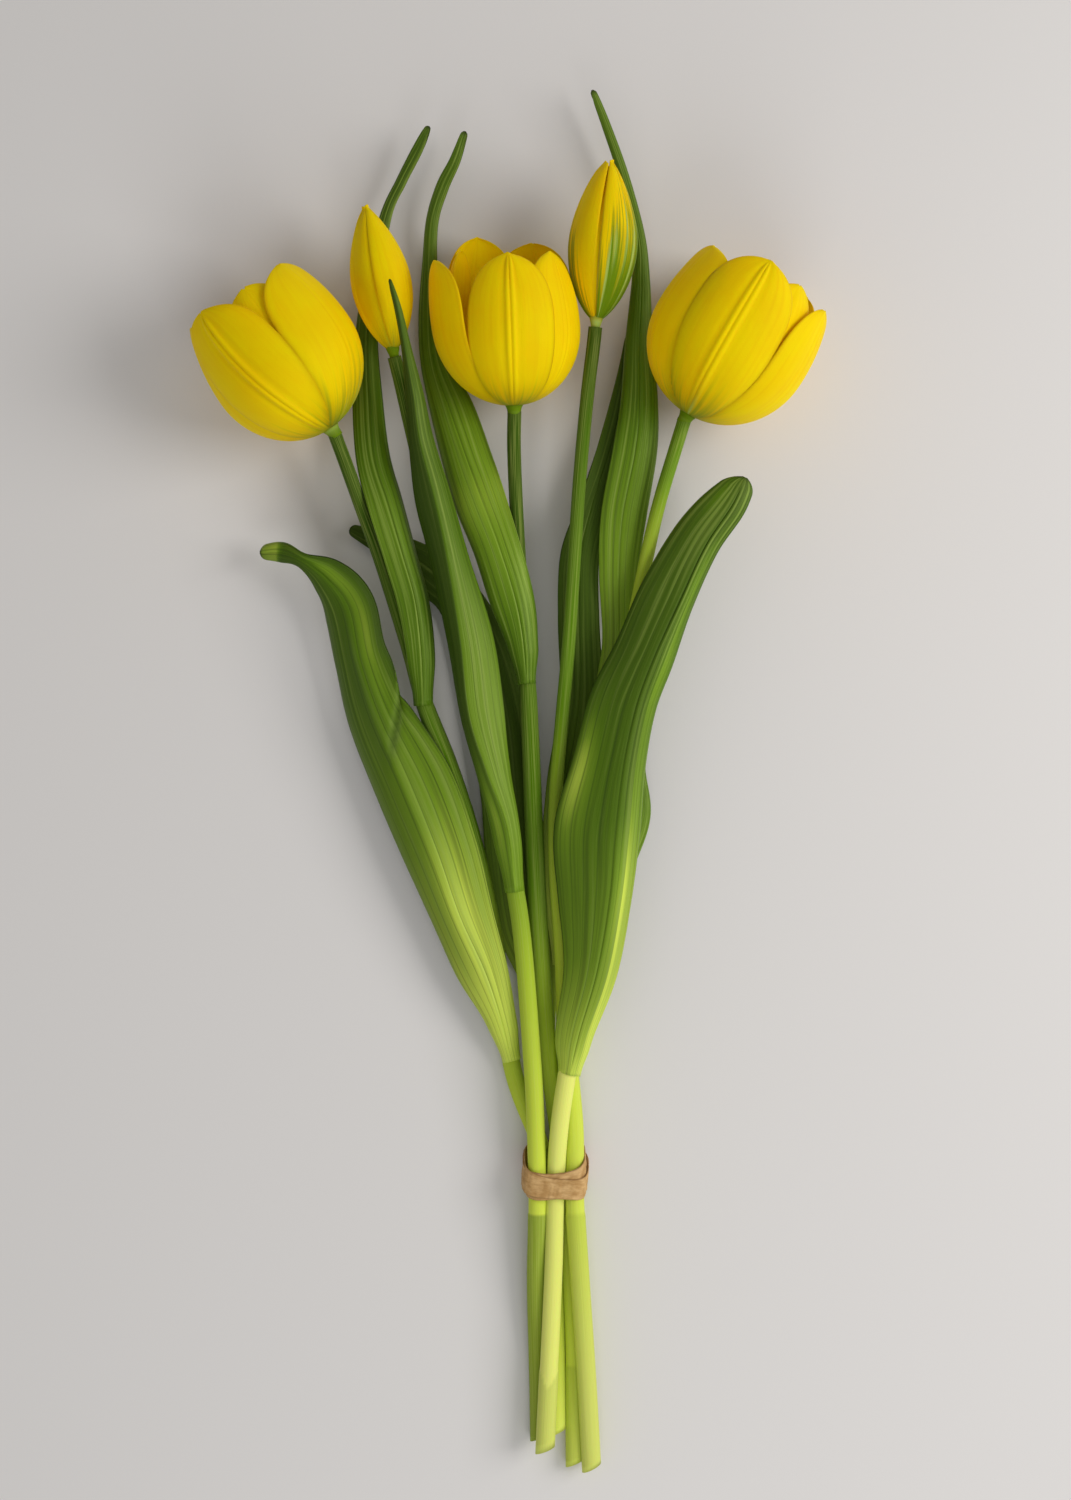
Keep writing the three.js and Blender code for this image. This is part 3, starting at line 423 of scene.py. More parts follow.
# Stations from the sheath to the tip: breadth to the left and right of the midrib, and how
# far each edge stands above it. crease turns the section from half an ellipse to a fold.
# veins is the depth of the grooves, dusk how dark the leaf is, partly its own dark green and
# partly painted shade, and fresh how far up it is pale.
# lobe, where there is one, is (start, slope, height): the blade steps up by that height past
# the line along = start + slope * across, and sinks back further on. Its swell and notch are
# shares of the breadth, with their places and lengths past that line.
# strip, where there is one, is how far out across the blade a painted lit strip starts, as on
# the side that faces the light, and how much paler it is painted; past it most of the painted
# shade is lifted. pale_tip is how much paler the very tip is.
# sheath is how much greener the sheath is than on other leaves. patches are paler patches,
# partly the leaf's own paler green and partly painted highlights that also lift the painted
# shade: how far along and across each is, and how much paler.
LEAVES = {
    "left_low": dict(
        crease=0.1, veins=0.2, dusk=0.42, fresh=0.13, strip=(-0.15, 0.03), pale_tip=0.7,
        lobe=(0.465, 0.073, 3.2), patches=((0.26, 0.1, 0.11), (0.76, 0.2, 0.38), (0.62, 0.3, 0.3)),
        spine=[
            [2.3, -97, 8.1], [-1.4, -82, 11], [-7, -65, 13], [-15.5, -46, 15], [-23, -24, 17],
            [-32, -1.5, 17.5], [-42.5, 22, 17], [-49, 41, 16.5], [-53, 59, 17.5], [-60.5, 69, 18],
            [-69, 75, 18], [-76.5, 78, 15.5], [-84, 78, 13.5],
        ],
        left=[3.8, 5.6, 9.8, 10, 12.3, 13, 11.8, 9.5, 9.2, 5.8, 2.5, 3.2, 2],
        right=[3.8, 5.1, 7.9, 11.7, 13.6, 14.5, 10.8, 9.1, 9.1, 7, 2.5, 3.5, 2.5],
        left_lift=[-3.5, -3.5, -5, -6.5, -8, -9.5, -9.5, -8, -7, -4.5, -2, -2.5, -1],
        right_lift=[-3.5, -2, -1, -0.5, -1, 0.5, 3.5, 5.5, 5, 3, 0.5, -3, -2.5]),
    "left_high": dict(
        crease=0.15, veins=0.1, dusk=0.15, fresh=0.0, sheath=0.45,
        spine=[
            [-27.6, 25.5, 20], [-28.5, 44.5, 21.6], [-30.5, 61, 22.6], [-34.7, 76.5, 23.2],
            [-40, 94.5, 22.6], [-45, 110.5, 19], [-47, 132, 13], [-47.6, 152, 11.5], [-45.8, 169.5, 11],
            [-41.2, 193.5, 10], [-35.6, 206, 11], [-29.6, 217, 13], [-26.2, 224, 14],
        ],
        left=[4.3, 5.1, 6.1, 6.5, 6.8, 5.8, 5.4, 3.9, 3.3, 2, 1.8, 1.8, 0.9],
        right=[3.6, 4.4, 4.4, 4.5, 5, 5.5, 4.6, 3.6, 3, 1.8, 1.6, 1.6, 0.9],
        left_lift=[-3.4, -1.2, -0.6, -0.5, 0, -1, -2.5, -2.5, -2, -1, -1, -0.5, 0],
        right_lift=[-3.5, -4.6, -7.5, -8, -7, -5, -3.5, -2.5, -2, -1, -1, -0.5, 0]),
    "left_bud": dict(
        crease=0.5, veins=0.12, dusk=0.68, fresh=-0.05, strip=(0.0, 0.1), sheath=0.28,
        patches=((0.1, -0.4, 0.2),),
        spine=[
            [3.4, -38, 20.6], [0.5, -15.5, 23.2], [-6, 2.5, 25.5], [-12, 22, 27], [-15, 47.5, 28],
            [-19.7, 76, 28.5], [-24, 96, 29], [-28.8, 114.5, 30], [-30.7, 130, 32], [-33, 144, 37],
            [-35.2, 156.5, 42], [-38, 166.5, 43],
        ],
        left=[4, 5.4, 3.6, 3, 4.5, 5.8, 6.5, 3.6, 2.6, 1.2, 1, 0.5],
        right=[4, 4.4, 8.1, 12, 11.2, 7.2, 5.8, 4.9, 3.4, 2, 1.1, 0.5],
        left_lift=[-3.5, -4.5, -5.5, -6.5, -6.5, -6, -5.5, -3.5, -3, -1.5, -1, 0],
        right_lift=[-3.5, -3.5, -4.5, -5, -5.5, -5.5, -5, -4, -3, -1.5, -1, 0]),
    "centre": dict(
        crease=0.15, veins=0.14, dusk=0.0, fresh=0.14, sheath=0.6,
        spine=[
            [7.4, 33, 19], [6.4, 46, 20.4], [3.8, 61, 21.6], [-2, 80, 22.2], [-7.8, 95.5, 20.6],
            [-12.6, 108.5, 17.5], [-19, 127, 13], [-24.5, 144, 9], [-26, 160, 7.5], [-26, 179, 7.5],
            [-25, 193, 9.5], [-21.4, 204, 11], [-17.2, 212.5, 12.5], [-13.8, 222.5, 13],
        ],
        left=[3.6, 5.5, 8.6, 8.9, 9.4, 8.5, 6.7, 4.6, 3.9, 2.5, 2.1, 2.3, 1.9, 1.1],
        right=[3.8, 4.8, 6.2, 7.1, 8.1, 8.5, 8.2, 5.1, 3.7, 2.3, 1.9, 1.9, 1.7, 1.2],
        left_lift=[-3.4, -3.3, -3.3, -5, -4.5, -4.5, -4, -2.5, -2, -1.5, -1.5, -1, -0.5, 0],
        right_lift=[-3.4, -3.8, -4.2, -0.3, -1, -3, -2.5, -2.5, -2, -1.5, -1.5, -1, -0.5, 0]),
    "right_tall": dict(
        crease=0.1, veins=0.14, dusk=0.0, fresh=0.08, sheath=0.2,
        spine=[
            [33.5, -6.5, 14.3], [36, 15.5, 15.2], [37.2, 31, 16], [39, 48, 16.6], [39, 71.5, 17.6],
            [40.2, 90.5, 18], [44.5, 113, 18], [46, 129.5, 17], [46, 150, 14], [46.8, 171.5, 12],
            [45.9, 187, 11.5], [41, 206.5, 11.5], [34.6, 224.5, 12.5], [29.8, 236.5, 13.5],
        ],
        left=[3.4, 5.4, 6.1, 5.6, 6.8, 7.3, 7.5, 6.4, 4.7, 3.2, 1.8, 1.6, 1.2, 0.8],
        right=[2.9, 6, 6.2, 5.7, 6.6, 8, 7.4, 6.2, 4.6, 2.8, 2, 1.7, 1.5, 1.1],
        left_lift=[-0.8, -1.7, -2, -2, -1, -1, -1.5, -2.5, -3, -2, -1.5, -1, -0.5, 0],
        right_lift=[-0.8, -1.7, -2, -1.6, -1.4, -2, -3, -3, -3, -2, -1.5, -1, -0.5, 0]),
    "right_broad": dict(
        crease=0.45, veins=0.18, dusk=0.32, fresh=-0.04, strip=(0.4, 0.18),
        patches=(
            (0.44, -0.72, 0.4), (0.29, 0.35, 0.16), (0.93, -0.45, 0.5), (0.77, 0.3, 0.42),
            (0.62, 0.5, 0.2),
        ),
        spine=[
            [22, -100.5, 18.3], [25.2, -86.5, 19.8], [31.3, -65, 21.6], [35.6, -40, 24.5],
            [37.5, -17, 27.5], [40.2, 5.5, 30], [44.5, 25.5, 31], [50.5, 42, 32], [59, 60.5, 32],
            [67.6, 79, 32], [76.4, 92.5, 31.5], [81, 102, 30.5],
        ],
        left=[4.8, 8.1, 11.5, 17.9, 20.8, 17.2, 16, 13.8, 14.2, 12.2, 9.6, 5],
        right=[4.6, 5, 7, 7.4, 8.4, 7.4, 6.7, 6.8, 4.8, 4.6, 4.9, 4],
        left_lift=[-3.5, -4, -4.5, -5.5, -6.5, -6.5, -6, -5.5, -4.5, -4, -3, -1.5],
        right_lift=[-3.5, -3.5, -4, -4.5, -5.5, -5, -4, -4, -4, -3, -2.5, -1.5]),
    "right_bud": dict(
        crease=0.1, veins=0.1, dusk=0.5, fresh=0.0,
        spine=[
            [18.8, -64, 4.2], [18, -31, 8.1], [20.2, -3.5, 10.9], [23.6, 14, 12.2], [25.6, 31, 12.8],
            [25.3, 55, 13.5], [25.6, 76.5, 13.8], [29.7, 94.5, 13.5], [34.6, 109, 13], [38.4, 123, 11.8],
            [42, 141, 9.8], [43, 154, 8],
        ],
        left=[2.9, 5.4, 6.1, 6.9, 6.8, 7.2, 6.7, 4.4, 4.5, 4.1, 3, 1.3],
        right=[3.4, 7.4, 8.7, 7.9, 7.9, 6.9, 6.6, 7.1, 6.5, 5.3, 3.5, 1.7],
        left_lift=[-0.3, -0.8, -1, -0.5, -0.3, 0, 0.2, 0.5, 0, -0.3, -0.8, 0],
        right_lift=[-0.3, -0.8, -1, -0.5, -0.8, -0.5, -0.8, -1, -1, -0.8, -0.8, 0]),
    "back_left": dict(
        crease=0.1, veins=0.1, dusk=0.6, fresh=0.0,
        spine=[
            [14.7, -97, 1.7], [12, -71, 2], [7, -50, 3], [3.3, -27.5, 4.6], [1, -5, 5.6], [-2, 21, 6],
            [-7.4, 45, 5.5], [-15.7, 62.5, 4.8], [-25.4, 72.5, 4], [-36.5, 80, 3.3], [-47, 84, 2.8],
            [-54, 87, 2.8],
        ],
        left=[2.6, 6.2, 10.2, 10.1, 9.5, 10.9, 10.3, 8.1, 8.5, 5.8, 3.2, 1.6],
        right=[3.1, 5.5, 10.9, 11.2, 10.1, 10.7, 9.2, 7.3, 6.9, 4.7, 3.3, 1.7],
        left_lift=[-0.2, -0.8, -1.4, -1.1, -1.6, -2, -2, -1.8, -1.5, -1.3, -0.8, -0.3],
        right_lift=[-0.2, -0.4, -0.4, -0.1, -0.6, -1.5, -1.5, -1.3, -1, -0.8, -0.4, -0.2]),
    "back_right": dict(
        crease=0.1, veins=0.12, dusk=0.0, fresh=0.2,
        spine=[
            [25, -80, 10.4], [27, -60.5, 9.4], [30.5, -41.5, 8], [35.4, -25, 7], [40, -10.5, 6.4],
            [42, 3.5, 5.8], [43, 18.5, 5.2], [43, 29.5, 4.6],
        ],
        left=[3, 3.6, 5.5, 6.7, 7.7, 7, 5.5, 1.7],
        right=[3.3, 6.6, 8.3, 10.2, 10.3, 6.4, 4.2, 2.1],
        left_lift=[-0.8, -0.7, -1, -1, -1, -0.8, -0.6, -0.1],
        right_lift=[-0.8, -0.7, -1, -1.5, -1.5, -1.3, -0.6, -0.1]),
}


def bell(value, middle, width):
    """1 at the middle, and exp(-x^2) at x widths from it."""
    return np.exp(-((value - middle) / width) ** 2)


def blade_skin(sheet, thickness, span, marks):
    """A sheet pushed half its thickness to each side along its own normals, which are the
    cross product of its two gradients. A rim joins both faces."""
    rows, columns = sheet.shape[:2]
    across, along = np.gradient(sheet, axis=1), np.gradient(sheet, axis=0)
    push = unit(np.cross(across, along)) * thickness[..., None] / 2
    front, count = np.arange(rows * columns).reshape(rows, columns), rows * columns
    cells = lattice(rows, columns, False)
    rims = []
    for edge in (front[0], front[:, -1], front[-1, ::-1], front[::-1, 0]):
        a, b = edge[:-1], edge[1:]
        rims.append(np.stack([b, a, a + count, b + count], -1))
    points = np.concatenate([(sheet + push).reshape(-1, 3), (sheet - push).reshape(-1, 3)])
    quads = np.concatenate([cells, cells[:, ::-1] + count, *rims])
    span, marks = span.reshape(-1, 2), marks.reshape(-1, 3)
    return dict(points=points, quads=quads, tris=np.empty((0, 3), int),
                span=np.concatenate([span, span]), marks=np.concatenate([marks, marks]))


def leaf_marks(shape, seed, along, v, past):
    """How dark and how pale a blade is at each point, from its table's row: its own colour with
    painted light and shade on it. The darkness is partly painted shade. The strip is painted
    lit and the patches are partly painted highlights, and both lift the darkness; a narrow
    painted shade lies where the lobe steps up."""
    # Past the strip's start the blade is painted lit: paler, with most of its painted shade lifted.
    fold, paler = shape.get("strip", (1.2, 0))
    lit_side = ease(fold - STRIP_BLUR, fold + STRIP_BLUR, v)
    dusk = shape["dusk"] * ease(0.0, 0.25, along) * (1 - STRIP_LIGHT * lit_side)
    fresh = shape["fresh"] + paler * lit_side
    fresh = fresh - shape.get("sheath", 0) * ease(0.35, 0, along)
    # Each patch is painted paler, partly as a painted highlight, and lifts the painted shade there.
    for where, off, pale in shape.get("patches", ()):
        patch = bell(along, where, PATCH_LENGTH) * bell(v, off, PATCH_BREADTH)
        dusk, fresh = dusk * (1 - patch), fresh + pale * patch
    if "lobe" in shape:
        folded = ease(*LOBE_SIDE, v)
        # Painted shade: a thin dark line along the step, under the edge of the raised lobe.
        dusk = dusk + LOBE_SHADE * bell(past, 0, LOBE_SHADE_LENGTH) * folded
        fresh = fresh - LOBE_GREEN * ease(*LOBE_RISE, past) * folded
    fresh = fresh + shape.get("pale_tip", 0) * ease(0.9, 0.94, along)
    return np.stack(np.broadcast_arrays(seed, dusk, fresh), -1)


def leaf_skin(shape, seed):
    """A blade along its midrib, with rows closer together by the sheath. Across it, a point
    goes out by the breadth times a blend of sin and straight line, and up by the lift times
    a blend of 1 - cos and straight line. The veins are powers of |sin|, which dip the sheet,
    and slow waves ruffle its edges. By the sheath's lip the blade draws in, sinks and thins,
    to hug its stem. A lobe's edge swells past the step and draws in before it."""
    tau = np.linspace(0, 1, LEAF_ROWS)
    t = tau * (1 + LEAF_CROWDING - LEAF_CROWDING * tau)
    along, v = t[:, None], np.linspace(-1, 1, LEAF_COLUMNS)[None, :]
    spine = shape["spine"]
    centre = smooth_line(spine, t)
    forward = smooth_line(spine, t + SLOPE_STEP) - smooth_line(spine, t - SLOPE_STEP)
    forward = unit(forward * [1, 1, 0])
    side = np.stack([forward[:, 1], -forward[:, 0], 0 * t], -1)
    left, right, left_lift, right_lift = (
        smooth_line(shape[key], t)[:, None] for key in ("left", "right", "left_lift", "right_lift"))
    breadth, lift = np.where(v < 0, -left, right), np.where(v < 0, left_lift, right_lift)

    length = np.linalg.norm(np.diff(centre, axis=0), axis=1).sum()
    tip = (shape["left"][-1] + shape["right"][-1]) / length
    rounding = np.sqrt(1 - np.clip((along - 1 + tip) / tip, 0, LEAF_TIP_CUT) ** 2)
    draw_in, sink, thin = LEAF_HUG
    hug = ease(*LEAF_HUG_ENDS, along)
    crease, quarter = shape["crease"], math.pi / 2
    out = (np.sin(quarter * abs(v)) * (1 - crease) + abs(v) * crease) * (1 - draw_in * hug)
    up = (1 - np.cos(quarter * v)) * (1 - crease) + abs(v) * crease

    inner = ease(0, 0.05, along) * ease(1, 0.9, along) * ease(1, 0.85, abs(v))
    ribs = abs(np.sin(math.pi * VEINS_A_SIDE * v)) ** VEIN_SHARPNESS - 1
    ribs = ribs - MIDVEIN_DEPTH * bell(v, 0, MIDVEIN_HALF_WIDTH)
    start, slope, step_up = shape.get("lobe", (0.5, 0, 0))
    past = along - start - slope * v
    lobe = step_up * ease(*LOBE_RISE, past) * ease(*LOBE_SINK, past) * ease(*LOBE_SIDE, v)
    if step_up:
        (swell, *swell_place), (notch, *notch_place) = LOBE_SWELL, LOBE_NOTCH
        bulge = swell * bell(past, *swell_place) - notch * bell(past, *notch_place)
        out = out * (1 + bulge * ease(0.3, 0.9, v))
    ruffle = waves(seed, (along, 38), (v, 1.5)) * abs(v) ** 3
    height = lift * up * rounding + shape["veins"] * ribs * inner + lobe - sink * hug
    height = height + LEAF_RUFFLE * ruffle * ease(0, 0.1, along)

    sheet = centre[:, None] + side[:, None] * (breadth * out * rounding)[..., None]
    sheet = sheet + height[..., None] * [0, 0, 1]
    rim = np.sqrt(1 - (1 - LEAF_RIM_SHARE ** 2) * abs(v) ** 8)
    tip_thinning = 1 - LEAF_TIP_THINNING * ease(0.97, 1, along)
    thickness = LEAF_THICKNESS * rim * tip_thinning * (1 - thin * hug)
    span = np.stack(np.broadcast_arrays((v + 1) / 2, along), -1)
    return blade_skin(sheet, thickness, span, leaf_marks(shape, seed, along, v, past))


def leaf_green():
    """Mid green, yellow-green towards the sheath, with paler bands between the veins, which are
    partly painted highlight streaks. The veins, the rim and the tip are dark, and the dusk mark
    darkens it, partly to its own dark green and partly as painted shade."""
    gloss = {"Subsurface Weight": 0.05, "Subsurface Scale": 1 * MM,
             "Subsurface Radius": (0.4, 1, 0.1), "Specular IOR Level": 0.5,
             "Specular Tint": (0.85, 1, 0.35, 1)}
    finish, shader, (across, along, seed, dusk, fresh) = new_finish("leaf_green", gloss)
    wander = place(across * 3, along * 4, seed).scatter(1.0, 2)
    bands = place(across * 16 + wander * 1.5, along * 1.6, seed).scatter(1.0, 2)
    fine = place(across * 90, along * 12, seed).scatter(1.0, 3)
    grooves = (across * (4 * math.pi * VEINS_A_SIDE)).maths("COSINE")
    reach = along + (bands - 0.5) * 0.22 - fresh
    colour = reach.node("ShaderNodeValToRGB", {"stops": (
        (0.0, paint("d4e658")), (0.09, paint("aec642")), (0.22, paint("789a20")),
        (0.4, paint("567a0a")), (0.65, paint("48680a")), (1.0, paint("4c6a0e")))}, {0: reach})
    # Pale bands, partly painted highlight streaks.
    colour = (bands.between(0.5, 0.7) * 0.45).blend(colour, paint("a2b954"))
    colour = (bands.between(0.5, 0.3) * 0.55).blend(colour, paint("244004"))
    colour = (grooves.between(0.86, 1.0) * 0.4).blend(colour, paint("2a480a"))
    colour = (fine.between(0.55, 0.8) * 0.15).blend(colour, paint("9db45a"))
    edge = (across - 0.5).maths("ABSOLUTE")
    rim = (edge + (wander - 0.5) * 0.02).between(0.475, 0.5) * along.between(0.02, 0.2)
    colour = (rim * 0.85).blend(colour, paint("1a2e08"))
    tip = (along + (wander - 0.5) * 0.02).between(0.985, 1.0) * 0.8
    colour = tip.blend(colour, paint("263410"))
    # Dark where the dusk mark is high: partly the leaf's own dark green, partly painted shade.
    colour = dusk.blend(colour, paint("142a02"))
    coat(shader, colour, 0.32 + fine * 0.15 + dusk * 0.3, fine + grooves * 0.3, 0.1)
    return finish


leaf_finish = leaf_green()
for number, (name, shape) in enumerate(LEAVES.items()):
    leaf = put_in_mesh("blade_" + name, [leaf_skin(shape, number + LEAF_SEED)])
    leaf.data.materials.append(leaf_finish)
    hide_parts("leaf_" + name)
    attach(leaf, "root")


# ---------------------------------------------------------------- flowers
# Six thick soft petals grow from the receptacle on the stem's end. In an open flower they
# cup the hollow, each behind or before the next; in a bud they wrap a heart of younger ones.

PETAL_ROWS = 46
PETAL_COLUMNS = 61
PETAL_ROW_CROWDING = 1.5
PETAL_COLUMN_CROWDING = 1.3
PETAL_ROOT = 0.03
PETAL_TIP_HALF_WIDTH = 0.9
PETAL_INSET = 0.6
PETAL_LEAST_RADIUS = 0.8
PETAL_FOOT_POWER = 0.7
PETAL_TIP_POWER = 0.58
RIDGE_PLACE = 0.06
RIDGE_HALF_WIDTH = 0.032
HOLLOW_PLACE = 0.17
HOLLOW_HALF_WIDTH = 0.07
HOLLOW_SHARE = 0.35
FURROW_DEPTH = 0.16
LIP_WAVE = 0.3
LIP_RISE = 0.4
PETAL_EDGE_THINNING = 0.8
PETAL_LIP_THINNING = 0.5
FLOWER_SEED = 30
SEEDS_A_FLOWER = 20
RECEPTACLE_RADIUS = 3.7
RECEPTACLE_HEIGHT = 4.3
RECEPTACLE_PROFILE = [[0.62, -0.9], [0.66, -0.4], [0.85, 0.0], [1, 0.5], [0.85, 1.1], [0.1, 1.5]]
RECEPTACLE_RINGS = 20
RECEPTACLE_SIDES = 24
RECEPTACLE_GREEN = 0.9
BUD_RECEPTACLE_SHARE = 0.68
BUD_WAIST = 0.46
BUD_FOOT_POWER = 1.5
BUD_TIP_POWERS = (1.8, 0.95)
HEART_GROWTH = 0.65
HEART_SHARE = 0.98
HEART_RINGS = 30
HEART_SIDES = 40
HEART_GREEN = 0.1
HEART_ENDS = (0.04, 0.985)
CUP_CLOSE = 0.22

# A flower's base is where it meets its stem. It heads so many degrees round from +Y and its
# mouth rises so many. spread is the widest half angle of a petal, and tuck how much its
# edges draw in. A bud has a heart, of that length.
# Petal rows: azimuth from straight up, sweep from root to tip, half breadth, length, how far
# the tip leans out, layer, bluntness of the tip, height of the double midrib, how far up
# the green base goes and how much further it goes at the right edge.
OPEN = dict(bud=False, spread=1.1, tuck=0.04, thickness=0.95)
CLOSED = dict(bud=True, spread=1.16, tuck=0.0, thickness=1.3)
FLOWERS = {
    "bloom_left": dict(
        OPEN, base=[-59.2, 119.9, 22.8], heading=35, rise=9, radius=27,
        petals=[
            [-26, -28, 17.5, 55.5, 0, 0.6, 4.4, 0.7, 0.26, 0],
            [50, 8, 20, 54, 0, 0.6, 3.6, 0.12, 0.38, 0.1],
            [8, 0, 14, 54, -2, -1, 3.6, 0.1, 0.2, 0],
            [118, 10, 15, 53.5, -1, -0.9, 3, 0.1, 0.2, 0],
            [176, 0, 17, 54, 0, 0.5, 3.4, 0.3, 0.2, 0],
            [-98, 0, 19.5, 54, 0, -0.9, 3.4, 0.1, 0.2, 0],
        ]),
    "bloom_centre": dict(
        OPEN, base=[3.1, 127.9, 20.4], heading=2, rise=9, radius=25,
        petals=[
            [0, 0, 16, 50.5, 0, 1, 2.7, 0.5, 0.26, 0],
            [-72, 0, 16.5, 49, 7, 0.3, 3.6, 0.1, 0.16, 0],
            [51, 0, 15, 50.5, -1, -0.3, 2.5, 0.12, 0.24, 0],
            [-146, 0, 16, 57, 0, 0.6, 3.6, 0.1, 0.24, 0],
            [142, 24, 17, 54.5, 0, -0.2, 4, 0.15, 0.2, 0],
            [-106, 0, 13, 52.5, -1, -1.2, 3, 0.1, 0.2, 0],
        ]),
    "bloom_right": dict(
        OPEN, base=[62.2, 124.6, 23], heading=-30, rise=9, radius=27.5,
        petals=[
            [-3, 0, 18, 57, 0, 1.2, 3.2, 0.5, 0.3, 0],
            [-62, 0, 18, 52.5, 1.5, 0.2, 5.5, 0.1, 0.26, 0],
            [64, 4, 15, 52, 3.8, 0.3, 2.8, 0.1, 0.2, 0],
            [34, 0, 13, 55, 0, -1.2, 3, 0.1, 0.2, 0],
            [132, 0, 17, 54, 0, -0.8, 3.4, 0.2, 0.2, 0],
            [-158, 0, 17, 54, 0, -0.2, 3.4, 0.1, 0.2, 0],
        ]),
    "bud_left": dict(
        CLOSED, base=[-37.7, 145.5, 26.2], heading=11, rise=3, radius=9.4, heart=48,
        petals=[
            [58, 0, 13, 49.5, 0, 1.3, 2.6, 0.1, 0.3, 0],
            [-64, 0, 13, 49.5, 0, 0.5, 2.6, 0.1, 0.26, 0],
            [178, 0, 13, 48.5, 0, 0.9, 2.6, 0.1, 0.3, 0],
        ]),
    "bud_right": dict(
        CLOSED, base=[30.9, 155.8, 24.6], heading=-5, rise=3, radius=10.4, heart=52,
        petals=[
            [60, 0, 14.5, 54, 0, 1.3, 2.6, 0.2, 1.05, 0.6],
            [-78, 0, 15.5, 53.5, 1.5, 0.7, 2.6, 0.1, 0.85, -1.7],
            [163, 0, 14.5, 52.5, 0, 0.9, 2.6, 0.1, 0.3, 0],
        ]),
}


def cup(flower, s):
    """Height and distance from the axis, for s from root to tip. An open cup is half an
    ellipse up to its widest and then draws in with the square of the height. A bud rises as
    1 - cos to its waist and closes to a point by a power law."""
    if flower["bud"]:
        angle = math.pi / 2 * np.minimum(s / BUD_WAIST, 1)
        above = np.maximum(s - BUD_WAIST, 0) / (1 - BUD_WAIST)
        height = np.where(s > BUD_WAIST, s, BUD_WAIST * (1 - np.cos(angle)))
        inner, outer = BUD_TIP_POWERS
        closing = (1 - above ** inner) ** outer
        return height, np.where(s > BUD_WAIST, closing, np.sin(angle) ** BUD_FOOT_POWER)
    low = s < 0.5
    height = np.where(low, 0.5 * (1 - np.cos(math.pi * s)), s)
    return height, np.where(low, np.sin(math.pi * s), 1 - CUP_CLOSE * (2 * s - 1) ** 2)


def petal_skin(flower, row, seed):
    """One petal of a flower that stands on +Y. Each row of points is an arc round the axis;
    its half angle is the breadth over the radius. The breadth rises as a power of sin to the
    middle and rounds off to the tip. Two ridges with a groove between them make the midrib,
    and slow waves furrow the skin and ruffle the lip."""
    azimuth, sweep, half_breadth, length, flare, layer, blunt, midrib, green, lean = row
    tau = np.linspace(0, 1, PETAL_ROWS)[:, None]
    s = PETAL_ROOT + (1 - PETAL_ROOT) * (1 - (1 - tau) ** PETAL_ROW_CROWDING)
    v = np.linspace(-1, 1, PETAL_COLUMNS)[None, :]
    v = np.sign(v) * abs(v) ** PETAL_COLUMN_CROWDING
    height, out = cup(flower, s)
    lower = np.sin(math.pi * np.minimum(s, 0.5)) ** PETAL_FOOT_POWER
    upper = (1 - np.maximum(2 * s - 1, 0) ** blunt) ** PETAL_TIP_POWER
    breadth = np.maximum(half_breadth * np.where(s < 0.5, lower, upper), PETAL_TIP_HALF_WIDTH)
    radius = (flower["radius"] - PETAL_INSET) * out + flare * height ** 2 + layer * out
    radius = np.maximum(radius, PETAL_LEAST_RADIUS)
    spread = np.minimum(breadth / radius, flower["spread"])
    middle = np.radians(azimuth + sweep * (height - 0.5))
    inside = ease(0, 0.15, s) * ease(1, 0.93, s)
    ridges = sum(bell(v, k * RIDGE_PLACE, RIDGE_HALF_WIDTH) for k in (1, -1))
    hollow = bell(abs(v), HOLLOW_PLACE, HOLLOW_HALF_WIDTH)
    furrows = waves(seed, (v, 9), (s, 3))
    skin = radius * (1 - flower["tuck"] * v * v)
    skin = skin + midrib * (ridges - HOLLOW_SHARE * hollow) * inside
    skin = skin + FURROW_DEPTH * furrows * inside * ease(1, 0.8, abs(v))
    skin = skin + LIP_WAVE * waves(seed + 50, (v, 5), (s, 2)) * ease(0.8, 1, s)
    angle = middle + v * spread
    lip = LIP_RISE * waves(seed + 90, (v, 4), (s, 1)) * ease(0.75, 1, s)
    rise = (length - 0.5) * height + lip
    sheet = np.stack([skin * np.sin(angle), rise + 0 * angle, skin * np.cos(angle)], -1)
    edges = np.sqrt(1 - PETAL_EDGE_THINNING * abs(v) ** 8)
    edges = edges * (1 - PETAL_LIP_THINNING * ease(0.9, 1, s))
    span = np.stack(np.broadcast_arrays((v + 1) / 2, s), -1)
    marks = np.broadcast_to(np.array([seed, green, lean]), sheet.shape)
    return blade_skin(sheet, flower["thickness"] * edges, span, marks)


def turned_skin(profile, sides, marks):
    """A profile of (distance from the axis, height) turned round +Y, with a fan at each end."""
    profile = np.asarray(profile, float)
    angle = -2 * math.pi * np.arange(sides) / sides
    out, height = profile[:, 0:1], profile[:, 1:2] + 0 * angle
    rings = np.stack([out * np.sin(angle), height, out * np.cos(angle)], -1)
    along = np.linspace(0, 1, len(profile))[:, None]
    span = np.stack(np.broadcast_arrays(0.5 + 0 * angle[None], along), -1)
    return rod_skin(rings, span, np.broadcast_to(np.array(marks, float), rings.shape).copy())


